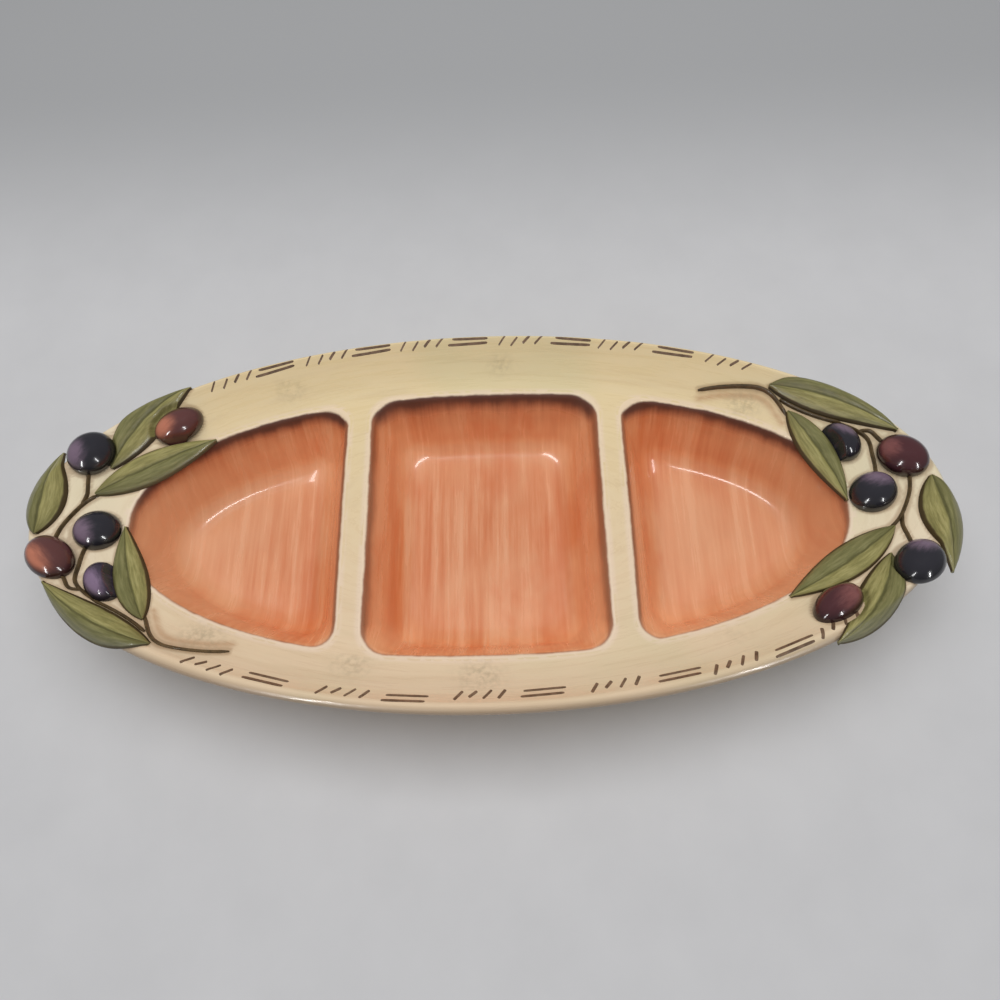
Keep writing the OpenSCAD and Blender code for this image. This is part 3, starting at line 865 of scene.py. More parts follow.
def hollow_rings(side):
    """The hollow under a divider: an oblong that narrows upwards between the walls of its wells."""
    insets, depths, _, shift = wall_section(WALL_THICKNESS, FLOOR_THICKNESS)
    base_inset = insets[0]
    reach = DIVIDER_WIDTH / 2 + base_inset
    ring_x = WELLS_LENGTH / 2 - base_inset - FOOT_STEP - FOOT_BAND
    ring_y = WELLS_WIDTH / 2 - base_inset - FOOT_STEP - FOOT_BAND
    half_y = ring_y * math.sqrt(1 - ((DIVIDER_MID + reach) / ring_x) ** 2)
    rows = list(zip(insets, depths))
    upper = np.linspace(depths[-1], RIM_THICKNESS, HOLLOW_ROWS + 1)[1:]
    rows += [(shift + depth * math.tan(WALL_LEAN), depth) for depth in upper]
    s = np.linspace(-1, 1, HOLLOW_STEPS + 1)[:-1]
    ones = np.ones(HOLLOW_STEPS)
    rings = []
    for inset, depth in rows:
        x = (DIVIDER_WIDTH / 2 + inset) * np.concatenate([s, ones, -s, -ones])
        y = half_y * np.concatenate([-ones, s, ones, -s])
        rings.append(np.column_stack([side * DIVIDER_MID + x, y, np.full(len(x), LIP_Z - depth)]))
    return np.array(rings)


# The rings of the rim's edge that are painted as its upper face is, and those over which the front roll gets
# painted shade
PAINTED_RINGS = 6
SHADE_IN = 7
SHADE_END = 17
SHADE_OUT = 5
SHADE_FRONT = 0.2
SHADE_SPAN = 0.3


def dish_clay():
    clay = Clay()
    tops, outside = outer_rings()
    clay.grid(tops, **rim_paint(tops))
    front = front_share(outside[0, :, 0], outside[0, :, 1])
    row = np.arange(len(outside))
    # Painted shade on the front roll: it grows over the first rings of the edge and fades out below them
    shaded = smooth_step(row / SHADE_IN) * smooth_step((SHADE_END - row) / SHADE_OUT)
    roll = np.outer(shaded, smooth_step((front - SHADE_FRONT) / SHADE_SPAN))
    for rings, paint in ((slice(PAINTED_RINGS), rim_paint), (slice(PAINTED_RINGS - 1, None), plain_paint)):
        clay.grid(outside[rings], **{**paint(outside[rings]), "roll": roll[rings].ravel()})
    strip = divider_top()
    for side in (1, -1):
        turned_strip = strip * [side, side, 1]
        clay.grid(turned_strip, closed=False, **{**plain_paint(turned_strip), "lip": lip_gap(turned_strip)})
    for which in FLOOR_MIDDLES:
        sheet = well_sheet(which, np.zeros(len(WELL_ROWS)))
        clay.grid(sheet, **plain_paint(sheet))
    hollows = [hollow_rings(side) for side in (1, -1)]
    for rings in hollows:
        clay.grid(rings, **plain_paint(rings))
        clay.cap(rings[-1], **plain_paint(rings[-1]))
    loops = [outside[-1], hollows[0][0], hollows[1][0]]
    flat = [Vector(p[:2]) for loop in loops for p in loop]
    edges = []
    first = 0
    for loop in loops:
        count = len(loop)
        edges += [(first + k, first + (k + 1) % count) for k in range(count)]
        first += count
    found = delaunay_2d_cdt(flat, edges, [], 0, 1e-6)
    base = np.array([(p.x, p.y, FOOT_HEIGHT) for p in found[0]])
    half_x, half_y = hollows[0][0].max(0)[:2] - [DIVIDER_MID, 0]
    flat_faces = []
    for face in found[2]:
        middle = base[list(face)].mean(0)
        if abs(abs(middle[0]) - DIVIDER_MID) > half_x or abs(middle[1]) > half_y:
            flat_faces.append(tuple(face))
    clay.add(base, flat_faces, **plain_paint(base))
    return clay


def foot_clay():
    """The unglazed standing ring: a band with rounded edges, its top at the height of the base."""
    inset = wall_section(WALL_THICKNESS, FLOOR_THICKNESS)[0][0] + FOOT_STEP
    half_x = WELLS_LENGTH / 2 - inset
    half_y = WELLS_WIDTH / 2 - inset
    soft = 1.1
    round_off = [(soft - soft * math.cos(t), soft - soft * math.sin(t)) for t in np.radians([22, 45, 68, 90])]
    section = [(0.0, FOOT_HEIGHT), (0.0, soft), *round_off, (FOOT_BAND / 2, 0.0)]
    section += [(FOOT_BAND - d, z) for d, z in round_off[::-1]]
    section += [(FOOT_BAND, soft), (FOOT_BAND, FOOT_HEIGHT)]
    a = np.linspace(0, 2 * math.pi, FOOT_STEPS, endpoint=False)
    rings = [np.column_stack([(half_x - d) * np.cos(a), (half_y - d) * np.sin(a), np.full(len(a), z)])
             for d, z in section]
    clay = Clay()
    clay.grid(rings, looped=True)
    return clay


# Bends of a lip that count as a corner, and how far a corner's effect reaches
CORNER_BEND = 0.04
CORNER_REACH = 6

# The glaze in the wells: its coat at the lip and below it, the bare lip, and its dark border's width and ink
COAT_THIN = 0.03
COAT_GAIN = 1.07
COAT_DEPTH = 12
COAT_BACK = 0.012
BARE_LIP = 1.35
CORNER_CUTS = {"left": 2.0, "middle": 0.9, "right": 2.0}
BORDER_FACING = (-1, -0.6, 0, 0.55, 1)
SIDE_BORDER = (0.5, 0.8, 3.8, 4.4, 6.0)
MIDDLE_BORDER = (0.5, 0.8, 5.0, 6.0, 7.5)
INK_FACING = (-1, -0.7, 0.1, 0.5)
INK_STRENGTH = (0.4, 0.5, 0.62, 1)
CUT_FACING = 0.3


def lip_facing(lip):
    """How far each point of a lip faces the front, 1 at the back to -1, and how near it is to a corner."""
    ways = np.roll(lip, -1, axis=0) - np.roll(lip, 1, axis=0)
    steps = np.linalg.norm(ways, axis=1)
    heading = np.arctan2(ways[:, 1], ways[:, 0])
    turn = np.angle(np.exp(1j * (np.roll(heading, -1) - np.roll(heading, 1))))
    sharp = np.abs(turn) / steps > CORNER_BEND
    near = np.exp(-(np.linalg.norm(lip[:, None] - lip[None], axis=-1) / CORNER_REACH) ** 2) * steps
    return -ways[:, 0] / steps, (near * sharp).sum(1) / near.sum(1)


def lining_clay(which):
    """The coat of coloured glaze in a well: thin as paint at the lip, and a full coat below it."""
    depth = np.array([row[1] for row in WELL_ROWS])
    coat = well_sheet(which, COAT_THIN + COAT_GAIN * smooth_step(depth / COAT_DEPTH))
    under = well_sheet(which, np.full(len(WELL_ROWS), COAT_BACK))
    steps = np.linalg.norm(np.diff(coat, axis=0), axis=2)
    deep = np.concatenate([np.zeros((1, coat.shape[1])), np.cumsum(steps, axis=0)])
    facing, bend = lip_facing(well_ring(which, LIP_INSET))
    widths = MIDDLE_BORDER if which == "middle" else SIDE_BORDER
    values = {
        "deep": deep - BARE_LIP - CORNER_CUTS[which] * bend * smooth_step(facing + CUT_FACING),
        "band": np.interp(facing, BORDER_FACING, widths),
        "ink": np.interp(facing, INK_FACING, INK_STRENGTH),
        "steep": np.concatenate([[math.sin(row[2]) for row in WELL_ROWS], np.zeros(FLOOR_STEPS)])[:, None],
    }
    values = {key: np.broadcast_to(value, deep.shape) for key, value in values.items()}
    rows = [0, *range(len(deep))]
    shell = np.array([coat[0], *under])
    clay = Clay()
    clay.grid(coat, brush=plain_paint(coat)["brush"], **{key: value.ravel() for key, value in values.items()})
    clay.grid(shell, brush=plain_paint(shell)["brush"],
              **{key: value[rows].ravel() for key, value in values.items()})
    return clay


def tone(r, g, b):
    """A colour seen in the photograph's light as red, green and blue out of 255, made linear."""
    shares = (r / 255, g / 255, b / 255)
    linear = [c / 12.92 if c <= 0.04045 else ((c + 0.055) / 1.055) ** 2.4 for c in shares]
    return (*linear, 1.0)


class Nodes:
    """Short ways to place and join the nodes of one tree."""

    def __init__(self, tree):
        self.tree = tree

    def put(self, socket, value):
        if isinstance(value, bpy.types.NodeSocket):
            self.tree.links.new(value, socket)
        else:
            socket.default_value = value

    def add(self, kind, inputs=(), **settings):
        made = self.tree.nodes.new(kind)
        for key, value in settings.items():
            setattr(made, key, value)
        for key, value in dict(inputs).items():
            self.put(made.inputs[key], value)
        return made

    def math(self, operation, a, b=0.0):
        return self.add("ShaderNodeMath", {0: a, 1: b}, operation=operation).outputs[0]

    def times(self, a, b):
        return self.math("MULTIPLY", a, b)

    def plus(self, a, b):
        return self.math("ADD", a, b)

    def minus(self, a, b):
        return self.math("SUBTRACT", a, b)

    def vector(self, x=0.0, y=0.0, z=0.0):
        return self.add("ShaderNodeCombineXYZ", {0: x, 1: y, 2: z}).outputs[0]


class Paint(Nodes):
    """Short ways to make up a finish."""

    def attribute(self, name, output="Fac"):
        return self.add("ShaderNodeAttribute", attribute_name=name).outputs[output]

    def place(self):
        return self.add("ShaderNodeTexCoord").outputs["Object"]

    def axes(self, vector):
        return self.add("ShaderNodeSeparateXYZ", {0: vector}).outputs

    def scaled(self, vector, scale):
        return self.add("ShaderNodeMapping", {"Vector": vector, "Scale": scale}).outputs["Vector"]

    def noise(self, vector, scale, detail=3.0, roughness=0.55):
        inputs = {"Vector": vector, "Scale": scale, "Detail": detail, "Roughness": roughness}
        return self.add("ShaderNodeTexNoise", inputs).outputs["Fac"]

    def wander(self, pattern, reach):
        """A pattern's value about its middle, spread over a reach."""
        return self.times(self.minus(pattern, 0.5), reach)

    def between(self, value, low, high):
        """A value of 0 to 1, spread over low to high."""
        inputs = {"Value": value, "To Min": low, "To Max": high}
        return self.add("ShaderNodeMapRange", inputs).outputs["Result"]

    def smooth(self, value, low, high):
        """0 below low and 1 above high, or the other way round where high is the smaller."""
        falls = high < low
        inputs = {"Value": value, "From Min": min(low, high), "From Max": max(low, high),
                  "To Min": float(falls), "To Max": float(not falls)}
        return self.add("ShaderNodeMapRange", inputs, interpolation_type="SMOOTHSTEP").outputs["Result"]

    def mix(self, share, a, b, blend="MIX"):
        settings = {"data_type": "RGBA", "blend_type": blend, "clamp_factor": True}
        return self.add("ShaderNodeMix", {"Factor": share, 6: a, 7: b}, **settings).outputs[2]

    def over(self, colour, share, strength, shade):
        """A colour with a share of another laid over it."""
        return self.mix(self.times(share, strength), colour, tone(*shade))

    def ramp(self, value, *stops):
        made = self.add("ShaderNodeValToRGB", {"Fac": value})
        marks = made.color_ramp.elements
        while len(marks) < len(stops):
            marks.new(0.5)
        for mark, (at, shade) in zip(marks, stops):
            mark.position = at
            mark.color = tone(*shade)
        return made.outputs["Color"]

    def group(self, tree, **inputs):
        return self.add("ShaderNodeGroup", inputs, node_tree=tree).outputs

    def bump(self, height, strength, distance=0.001):
        inputs = {"Strength": strength, "Distance": distance, "Height": height}
        return self.add("ShaderNodeBump", inputs).outputs["Normal"]

    def ripple(self, place, scale):
        return self.group(GLAZE_RIPPLE, Vector=place, Scale=scale)["Height"]

    def strokes(self, vector, fineness):
        return self.group(BRUSH_MARKS, Vector=vector, Fineness=fineness)["Marks"]

    def glaze(self, colour, roughness, normal, **others):
        inputs = {"Base Color": colour, "Roughness": roughness, "Normal": normal}
        inputs.update({key.replace("_", " "): value for key, value in others.items()})
        shader = self.add("ShaderNodeBsdfPrincipled", inputs)
        self.add("ShaderNodeOutputMaterial", {"Surface": shader.outputs["BSDF"]})


def finish_named(name):
    material = bpy.data.materials.new(name)
    material.use_nodes = True
    material.node_tree.nodes.clear()
    return material, Paint(material.node_tree)


def effect_named(name, inputs, outputs):
    """A shared effect: its tree, the nodes' helper, and its input and output ends."""
    tree = bpy.data.node_groups.new(name, "ShaderNodeTree")
    for way, sockets in (("INPUT", inputs), ("OUTPUT", outputs)):
        for label, kind in sockets.items():
            tree.interface.new_socket(label, in_out=way, socket_type="NodeSocket" + kind)
    paint = Paint(tree)
    return tree, paint, paint.add("NodeGroupInput").outputs, paint.add("NodeGroupOutput").inputs


def brush_marks_effect():
    """Streaks that a loaded brush leaves: long fine hairs of colour over broader passes."""
    tree, paint, given, out = effect_named(
        "brush marks", {"Vector": "Vector", "Fineness": "Float"}, {"Marks": "Float"})
    broad = paint.noise(given["Vector"], given["Fineness"], 2.0, 0.5)
    fine = paint.noise(given["Vector"], paint.times(given["Fineness"], 3.7), 4.0, 0.65)
    both = paint.plus(paint.times(broad, 0.62), paint.times(fine, 0.38))
    paint.put(out["Marks"], paint.smooth(both, 0.3, 0.7))
    return tree


def glaze_ripple_effect():
    """The slow unevenness of a poured glaze, with faint pinholes."""
    tree, paint, given, out = effect_named(
        "glaze ripple", {"Vector": "Vector", "Scale": "Float"}, {"Height": "Float"})
    slow = paint.noise(given["Vector"], given["Scale"], 2.0, 0.45)
    fine = paint.noise(given["Vector"], paint.times(given["Scale"], 9.0), 2.0, 0.5)
    paint.put(out["Height"], paint.plus(slow, paint.times(fine, 0.06)))
    return tree


BRUSH_MARKS = brush_marks_effect()
GLAZE_RIPPLE = glaze_ripple_effect()


def cream_coat_effect():
    """Colour of the cream glaze: warmer and a little darker at the front as painted shade, yellower at the
    back, with streaks and green tints.
    """
    tree, paint, given, out = effect_named(
        "cream coat", {"Brush": "Vector", "Place": "Vector"}, {"Colour": "Color", "Marks": "Float"})
    axes = paint.axes(given["Place"])
    # Painted shade: the front of the rim is warmer and darker than the back
    back = paint.smooth(axes["Y"], -0.085, 0.08)
    colour = paint.mix(back, tone(231, 203, 170), tone(234, 211, 163))
    ends = paint.smooth(paint.math("ABSOLUTE", axes["X"]), 0.12, 0.175)
    colour = paint.over(colour, ends, 0.8, (245, 230, 203))
    marks = paint.strokes(given["Brush"], 1.0)
    colour = paint.over(colour, marks, 0.26, (243, 226, 192))
    dark = paint.smooth(paint.noise(given["Brush"], 0.55), 0.5, 0.72)
    colour = paint.over(colour, dark, 0.2, (206, 178, 138))
    green = paint.smooth(paint.noise(given["Place"], 11.0, 2.0), 0.52, 0.72)
    colour = paint.over(colour, green, 0.3, (206, 202, 158))
    paint.put(out["Colour"], colour)
    paint.put(out["Marks"], marks)
    return tree


CREAM_COAT = cream_coat_effect()


def cream_glaze():
    material, paint = finish_named("cream glaze")
    place = paint.place()
    coat = paint.group(CREAM_COAT, Brush=paint.attribute("brush", "Vector"), Place=place)
    speck = paint.noise(place, 420.0)
    patch = paint.noise(place, 60.0)
    # Painted highlight: a pale pinkish band round each well's lip
    lip = paint.smooth(paint.plus(paint.attribute("lip"), patch), 2.8, 0.8)
    colour = paint.over(coat["Colour"], lip, 0.5, (243, 219, 198))
    # A brown line round the sprig pieces: partly their painted outline, partly painted shade where they meet
    # the rim
    edge = paint.plus(paint.attribute("sprig"), paint.times(patch, -1.8))
    colour = paint.over(colour, paint.smooth(edge, 0.8, -0.6), 0.5, (158, 122, 84))
    # A soft brown line beside each main stem
    colour = paint.over(colour, paint.attribute("stem_line"), 0.7, (186, 142, 102))
    smear = paint.times(paint.attribute("smudge"), paint.smooth(speck, 0.3, 0.72))
    colour = paint.over(colour, smear, 0.55, (138, 122, 92))
    # Painted shade: the rolled front edge is darkened towards its underside, and its gloss is lowered there
    roll = paint.attribute("roll")
    colour = paint.over(colour, roll, 0.66, (146, 121, 98))
    gloss = paint.minus(0.55, paint.times(roll, 0.5))
    paint.glaze(colour, paint.between(coat["Marks"], 0.24, 0.34), paint.bump(paint.ripple(place, 48.0), 0.32),
                Coat_Weight=gloss, Coat_Roughness=0.07)
    return material


def peach_glaze():
    """The wells' glaze: brushed from front to back, with a dark border along the lip's far side."""
    material, paint = finish_named("peach glaze")
    place = paint.place()
    marks = paint.strokes(paint.scaled(place, (190.0, 9.0, 14.0)), 1.0)
    colour = paint.ramp(marks, (0.0, (206, 121, 76)), (0.5, (217, 145, 102)), (1.0, (227, 166, 126)))
    pale = paint.smooth(paint.noise(place, 17.0, 2.0), 0.42, 0.66)
    colour = paint.over(colour, pale, 0.45, (229, 175, 135))
    warm = paint.smooth(paint.noise(paint.scaled(place, (1.4, 0.8, 1.0)), 31.0), 0.5, 0.74)
    colour = paint.over(colour, warm, 0.5, (208, 114, 68))
    ends = paint.smooth(paint.math("ABSOLUTE", paint.axes(place)["X"]), 0.07, 0.15)
    colour = paint.over(colour, ends, 0.4, (228, 178, 138))
    # Painted light: the walls are made paler than the floor, and the side wells' end walls are then toned
    # down again as painted shade
    steep = paint.math("POWER", paint.attribute("steep"), 2.0)
    colour = paint.mix(steep, colour, (1.3, 1.27, 1.18, 1.0), "MULTIPLY")
    colour = paint.mix(paint.times(steep, ends), colour, (0.86, 0.86, 0.88, 1.0), "MULTIPLY")
    deep = paint.attribute("deep")
    ink = paint.attribute("ink")
    ragged = paint.plus(paint.wander(paint.noise(place, 55.0), 0.9), paint.wander(marks, 0.25))
    share = paint.plus(paint.math("DIVIDE", deep, paint.attribute("band")), ragged)
    # Below the border a soft darker orange-brown, strongest on the far walls: partly the border's brushed
    # fade, partly painted shade
    soft = paint.times(paint.smooth(share, 3.0, 0.8), ink)
    colour = paint.over(colour, soft, 0.45, (182, 98, 62))
    border = paint.times(paint.smooth(share, 1.6, 0.45), ink)
    brown = paint.mix(paint.smooth(share, 0.25, 1.2), tone(84, 50, 42), tone(142, 78, 56))
    colour = paint.mix(paint.times(border, 0.94), colour, brown)
    coat = paint.group(CREAM_COAT, Brush=paint.attribute("brush", "Vector"), Place=place)
    # Above the coat's edge the lining takes the rim's cream, with the same painted highlight as the lip
    above = paint.smooth(paint.plus(deep, paint.wander(paint.noise(place, 160.0), 1.5)), 0.7, -0.7)
    colour = paint.mix(above, colour, paint.mix(0.5, coat["Colour"], tone(243, 219, 198)))
    rough = paint.plus(paint.plus(paint.times(marks, 0.1), paint.times(border, 0.3)), 0.2)
    gloss = paint.minus(0.5, paint.times(paint.math("MAXIMUM", border, above), 0.45))
    gloss = paint.times(gloss, paint.smooth(ink, 0.4, 0.6))
    normal = paint.bump(paint.ripple(place, 42.0), 0.1)
    paint.glaze(colour, rough, normal, Coat_Weight=gloss, Coat_Roughness=0.03)
    return material


def leaf_glaze():
    """The leaves' glaze: a dark and a pale half, a dark rib and an inked outline."""
    material, paint = finish_named("leaf green glaze")
    place = paint.place()
    across = paint.attribute("across")
    marks = paint.strokes(paint.attribute("brush", "Vector"), 1.2)
    dark = paint.ramp(marks, (0.0, (106, 104, 62)), (0.55, (124, 121, 76)), (1.0, (140, 135, 90)))
    pale = paint.ramp(marks, (0.0, (128, 122, 72)), (0.5, (150, 143, 88)), (1.0, (172, 163, 108)))
    colour = paint.mix(paint.smooth(across, -0.12, 0.2), dark, pale)
    base = paint.smooth(paint.attribute("along"), 0.3, 0.0)
    colour = paint.over(colour, base, 0.45, (88, 84, 44))
    wander = paint.wander(paint.noise(place, 190.0, 2.0), 0.16)
    wavy = paint.plus(across, wander)
    rib = paint.smooth(paint.math("ABSOLUTE", wavy), 0.11, 0.02)
    colour = paint.over(colour, rib, 0.7, (74, 72, 36))
    inked = paint.smooth(paint.plus(across, paint.times(wander, 0.5)), 0.86, 0.94)
    faint = paint.smooth(wavy, -0.86, -1.0)
    outline = paint.math("MAXIMUM", inked, paint.times(faint, 0.8))
    colour = paint.over(colour, outline, 0.94, (70, 54, 30))
    height = paint.plus(paint.times(marks, 0.35), paint.ripple(place, 90.0))
    side = paint.smooth(paint.math("ABSOLUTE", across), 0.88, 0.98)
    rough = paint.plus(paint.between(marks, 0.36, 0.5), paint.times(side, 0.4))
    gloss = paint.times(paint.minus(1.0, side), 0.2)
    paint.glaze(colour, rough, paint.bump(height, 0.22), Coat_Weight=gloss, Coat_Roughness=0.16)
    return material


def olive_glaze(name, edge, body, sheen, reach, spread, strength):
    """A dark olive's glaze: deepest round its edge, with a paler cheek that is partly painted sheen."""
    material, paint = finish_named(name)
    marks = paint.strokes(paint.attribute("brush", "Vector"), 1.4)
    crown = paint.attribute("crown")
    colour = paint.mix(paint.smooth(crown, 0.15, 0.75), tone(*edge), tone(*body))
    # The cheek facing one way is paler: partly the glaze's own paler colour, partly a painted reflection as
    # sheen
    cheek = paint.plus(paint.attribute("cheek"), paint.wander(marks, 0.16))
    painted_sheen = paint.times(paint.smooth(cheek, reach, reach + spread), paint.smooth(crown, 0.12, 0.66))
    colour = paint.over(colour, paint.math("POWER", painted_sheen, 1.8), strength, sheen)
    normal = paint.bump(paint.ripple(paint.place(), 110.0), 0.14)
    paint.glaze(colour, paint.between(marks, 0.12, 0.22), normal, Specular_IOR_Level=0.4, Coat_Weight=0.36,
                Coat_Roughness=0.09)
    return material


def brown_paint(name, low, high, roughness, coat):
    """Brown slip colour on the stems and for the strokes round the rim."""
    material, paint = finish_named(name)
    place = paint.place()
    marks = paint.noise(place, 310.0, 4.0, 0.6)
    colour = paint.ramp(paint.smooth(marks, 0.3, 0.7), (0.0, low), (1.0, high))
    rough = paint.between(marks, roughness - 0.06, roughness + 0.06)
    normal = paint.bump(paint.ripple(place, 240.0), 0.2)
    paint.glaze(colour, rough, normal, Coat_Weight=coat, Coat_Roughness=0.15)
    return material


def bare_clay():
    material, paint = finish_named("bare fired clay")
    place = paint.place()
    grain = paint.noise(place, 900.0, 4.0, 0.7)
    stain = paint.smooth(paint.noise(place, 40.0), 0.4, 0.7)
    colour = paint.ramp(grain, (0.25, (176, 150, 118)), (0.75, (216, 194, 162)))
    colour = paint.over(colour, stain, 0.35, (158, 132, 104))
    paint.glaze(colour, paint.between(grain, 0.75, 0.95), paint.bump(grain, 0.35, 0.0006))
    return material


CREAM = cream_glaze()
PEACH = peach_glaze()
LEAF = leaf_glaze()
STEM = brown_paint("stem brown", (68, 54, 32), (102, 82, 52), roughness=0.45, coat=0.15)
STROKE = brown_paint("stroke brown", (94, 72, 54), (132, 106, 84), roughness=0.4, coat=0.2)
CLAY = bare_clay()

# Olive glazes: edge, body and the cheek's painted sheen, then where the cheek begins, its spread and its
# strength
OLIVE_TONES = {
    "navy": ((28, 27, 33), (45, 44, 51), (128, 108, 126), 0.24, 0.7, 0.95),
    "plum": ((56, 31, 30), (98, 60, 58), (200, 126, 100), 0.06, 0.9, 0.94),
    "maroon": ((48, 26, 30), (80, 44, 48), (150, 94, 90), 0.4, 0.66, 0.72),
    "violet": ((36, 32, 40), (62, 54, 68), (140, 118, 144), 0.14, 0.72, 0.95),
}
OLIVE_GLAZES = {shade: olive_glaze("olive " + shade, *tones) for shade, tones in OLIVE_TONES.items()}

make_piece("cream_dish", dish_clay(), CREAM, ["dish_body"])
make_piece("standing_ring", foot_clay(), CLAY, ["foot_ring"])
for well in FLOOR_MIDDLES:
    make_piece(well + "_peach_lining", lining_clay(well), PEACH, [well + "_well_glaze"])
for hand in ("left", "right"):
    for leaf in LEAVES:
        node = f"{hand}_{leaf}"
        make_piece(node + "_relief", leaf_clay(leaf, hand), LEAF, [node], LEAF_CREASE)
    for olive in OLIVES:
        node = f"{hand}_{olive}"
        shade = OLIVES[olive][4 if hand == "left" else 5]
        glaze = OLIVE_GLAZES[shade]
        make_piece(node + "_relief", olive_clay(olive, hand), glaze, [node], OLIVE_CREASE)
    for stem in STEMS:
        node = f"{hand}_{stem}"
        make_piece(node + "_relief", stem_clay(stem, hand), STEM, [node], STEM_CREASE)


# Painted strokes round the rim: groups of slanted strokes and pairs of long ones, by turns.
# Each group's place along the dish, and its radius along the rim's length
FAR_STROKES = [(x, 190.9) for x in (-116.8, -96.6, -73.1, -51.8, -28.6, -6.2, 17.9, 42, 64.4, 88.9, 112.9)]
NEAR_STROKES = [
    (-111, 185), (-87.2, 183.5), (-56.2, 182.5), (-31.6, 184), (-2.4, 178.3), (22.5, 179.1),
    (50.9, 179.4), (75.9, 182.7), (97.9, 185), (121.3, 188.6), (140.5, 187.5),
]

# How the strokes differ on the two sides, in millimetres
FAR_SIZES = {"Slant Length": 5.0, "Long Gap": 1.7, "Stroke Width": 0.85}
NEAR_SIZES = {"Slant Length": 5.3, "Long Gap": 2.5, "Stroke Width": 1.1}

# Strokes in a group, the shift of a long pair, and how much the strokes differ in length, width and turn
SLANTS = 4
LONGS = 2
LONG_SHIFT = 1.2
LONGEST = 1.06
STROKE_WIDTHS = (0.85, 1.3)
GROUP_WANDER = 0.03


def stroke_tree():
    """Sets a group of strokes on each guide point, slants and long pairs by turns."""
    tree = bpy.data.node_groups.new("rim strokes", "GeometryNodeTree")
    tree.interface.new_socket("Guides", in_out="INPUT", socket_type="NodeSocketGeometry")
    sizes = (("Slant Length", 5.0), ("Slant Gap", 5.7), ("Slant Angle", 0.8), ("Long Length", 18.5),
             ("Long Gap", 2.5), ("Stroke Width", 1.05), ("Paint Height", 0.14))
    for label, size in sizes:
        socket = tree.interface.new_socket(label, in_out="INPUT", socket_type="NodeSocketFloat")
        socket.default_value = size
    tree.interface.new_socket("Seed", in_out="INPUT", socket_type="NodeSocketInt").default_value = 5
    tree.interface.new_socket("Paint", in_out="INPUT", socket_type="NodeSocketMaterial")
    tree.interface.new_socket("Strokes", in_out="OUTPUT", socket_type="NodeSocketGeometry")
    build = Nodes(tree)
    given = build.add("NodeGroupInput").outputs
    counts = {"Vertices X": 6, "Vertices Y": 3, "Vertices Z": 2}
    block = build.add("GeometryNodeMeshCube", counts).outputs["Mesh"]
    touch = build.add("GeometryNodeSubdivisionSurface", {"Mesh": block, "Level": 1}).outputs["Mesh"]
    tall = build.times(given["Paint Height"], 2.0)

    def stroke(length):
        scale = build.vector(length, given["Stroke Width"], tall)
        return build.add("GeometryNodeTransform", {"Geometry": touch, "Scale": scale}).outputs[0]

    def chance(low, high, seed_shift):
        seed = build.plus(given["Seed"], float(seed_shift))
        drawn = build.add("FunctionNodeRandomValue", {2: low, 3: high, "Seed": seed}, data_type="FLOAT")
        return drawn.outputs[1]

    def row(count, start, step, shape, turn, seed_shift, size_low, turn_wander, side_wander):
        line = build.add("GeometryNodeMeshLine", {"Count": count, "Start Location": start, "Offset": step})
        aside = build.vector(0.0, chance(-side_wander, side_wander, seed_shift + 3))
        line = build.add("GeometryNodeSetPosition", {"Geometry": line.outputs[0], "Offset": aside}).outputs[0]
        long = chance(size_low, LONGEST, seed_shift)
        wide = chance(*STROKE_WIDTHS, seed_shift + 2)
        size = build.vector(long, wide, 1.0)
        wander = chance(-turn_wander, turn_wander, seed_shift + 1)
        rotation = build.vector(0.0, 0.0, build.plus(turn, wander))
        placed = build.add("GeometryNodeInstanceOnPoints", {
            "Points": line, "Instance": shape, "Rotation": rotation, "Scale": size}).outputs[0]
        return build.add("GeometryNodeRealizeInstances", {0: placed}).outputs[0]

    slant_half = build.times(given["Slant Gap"], -(SLANTS - 1) / 2)
    slants = row(SLANTS, build.vector(slant_half), build.vector(given["Slant Gap"]),
                 stroke(given["Slant Length"]), given["Slant Angle"],
                 seed_shift=1, size_low=0.8, turn_wander=0.14, side_wander=0.35)
    long_half = build.times(given["Long Gap"], -(LONGS - 1) / 2)
    long_step = build.vector(LONG_SHIFT, given["Long Gap"])
    long_start = build.vector(-LONG_SHIFT / 2, long_half)
    longs = row(LONGS, long_start, long_step, stroke(given["Long Length"]), 0.0,
                seed_shift=7, size_low=0.9, turn_wander=0.025, side_wander=0.1)
    choices = build.add("GeometryNodeJoinGeometry")
    for shape in (longs, slants):
        kept = build.add("GeometryNodeGeometryToInstance", {0: shape})
        build.put(choices.inputs[0], kept.outputs[0])
    number = build.add("GeometryNodeInputIndex").outputs[0]
    parity = build.math("MODULO", number, 2.0)
    named = build.add("GeometryNodeInputNamedAttribute", {"Name": "turn"}, data_type="FLOAT")
    turn = build.plus(named.outputs["Attribute"], chance(-GROUP_WANDER, GROUP_WANDER, 0))
    facing = build.vector(0.0, 0.0, turn)
    groups = build.add("GeometryNodeInstanceOnPoints", {
        "Points": given["Guides"], "Instance": choices.outputs[0], "Pick Instance": True,
        "Instance Index": parity, "Rotation": facing}).outputs[0]
    solid = build.add("GeometryNodeRealizeInstances", {0: groups}).outputs[0]
    small = build.add("GeometryNodeTransform", {"Geometry": solid, "Scale": (MM, MM, MM)}).outputs[0]
    smooth = build.add("GeometryNodeSetShadeSmooth", {0: small}).outputs[0]
    painted = build.add("GeometryNodeSetMaterial", {"Geometry": smooth, "Material": given["Paint"]})
    build.add("NodeGroupOutput", {0: painted.outputs[0]})
    return tree


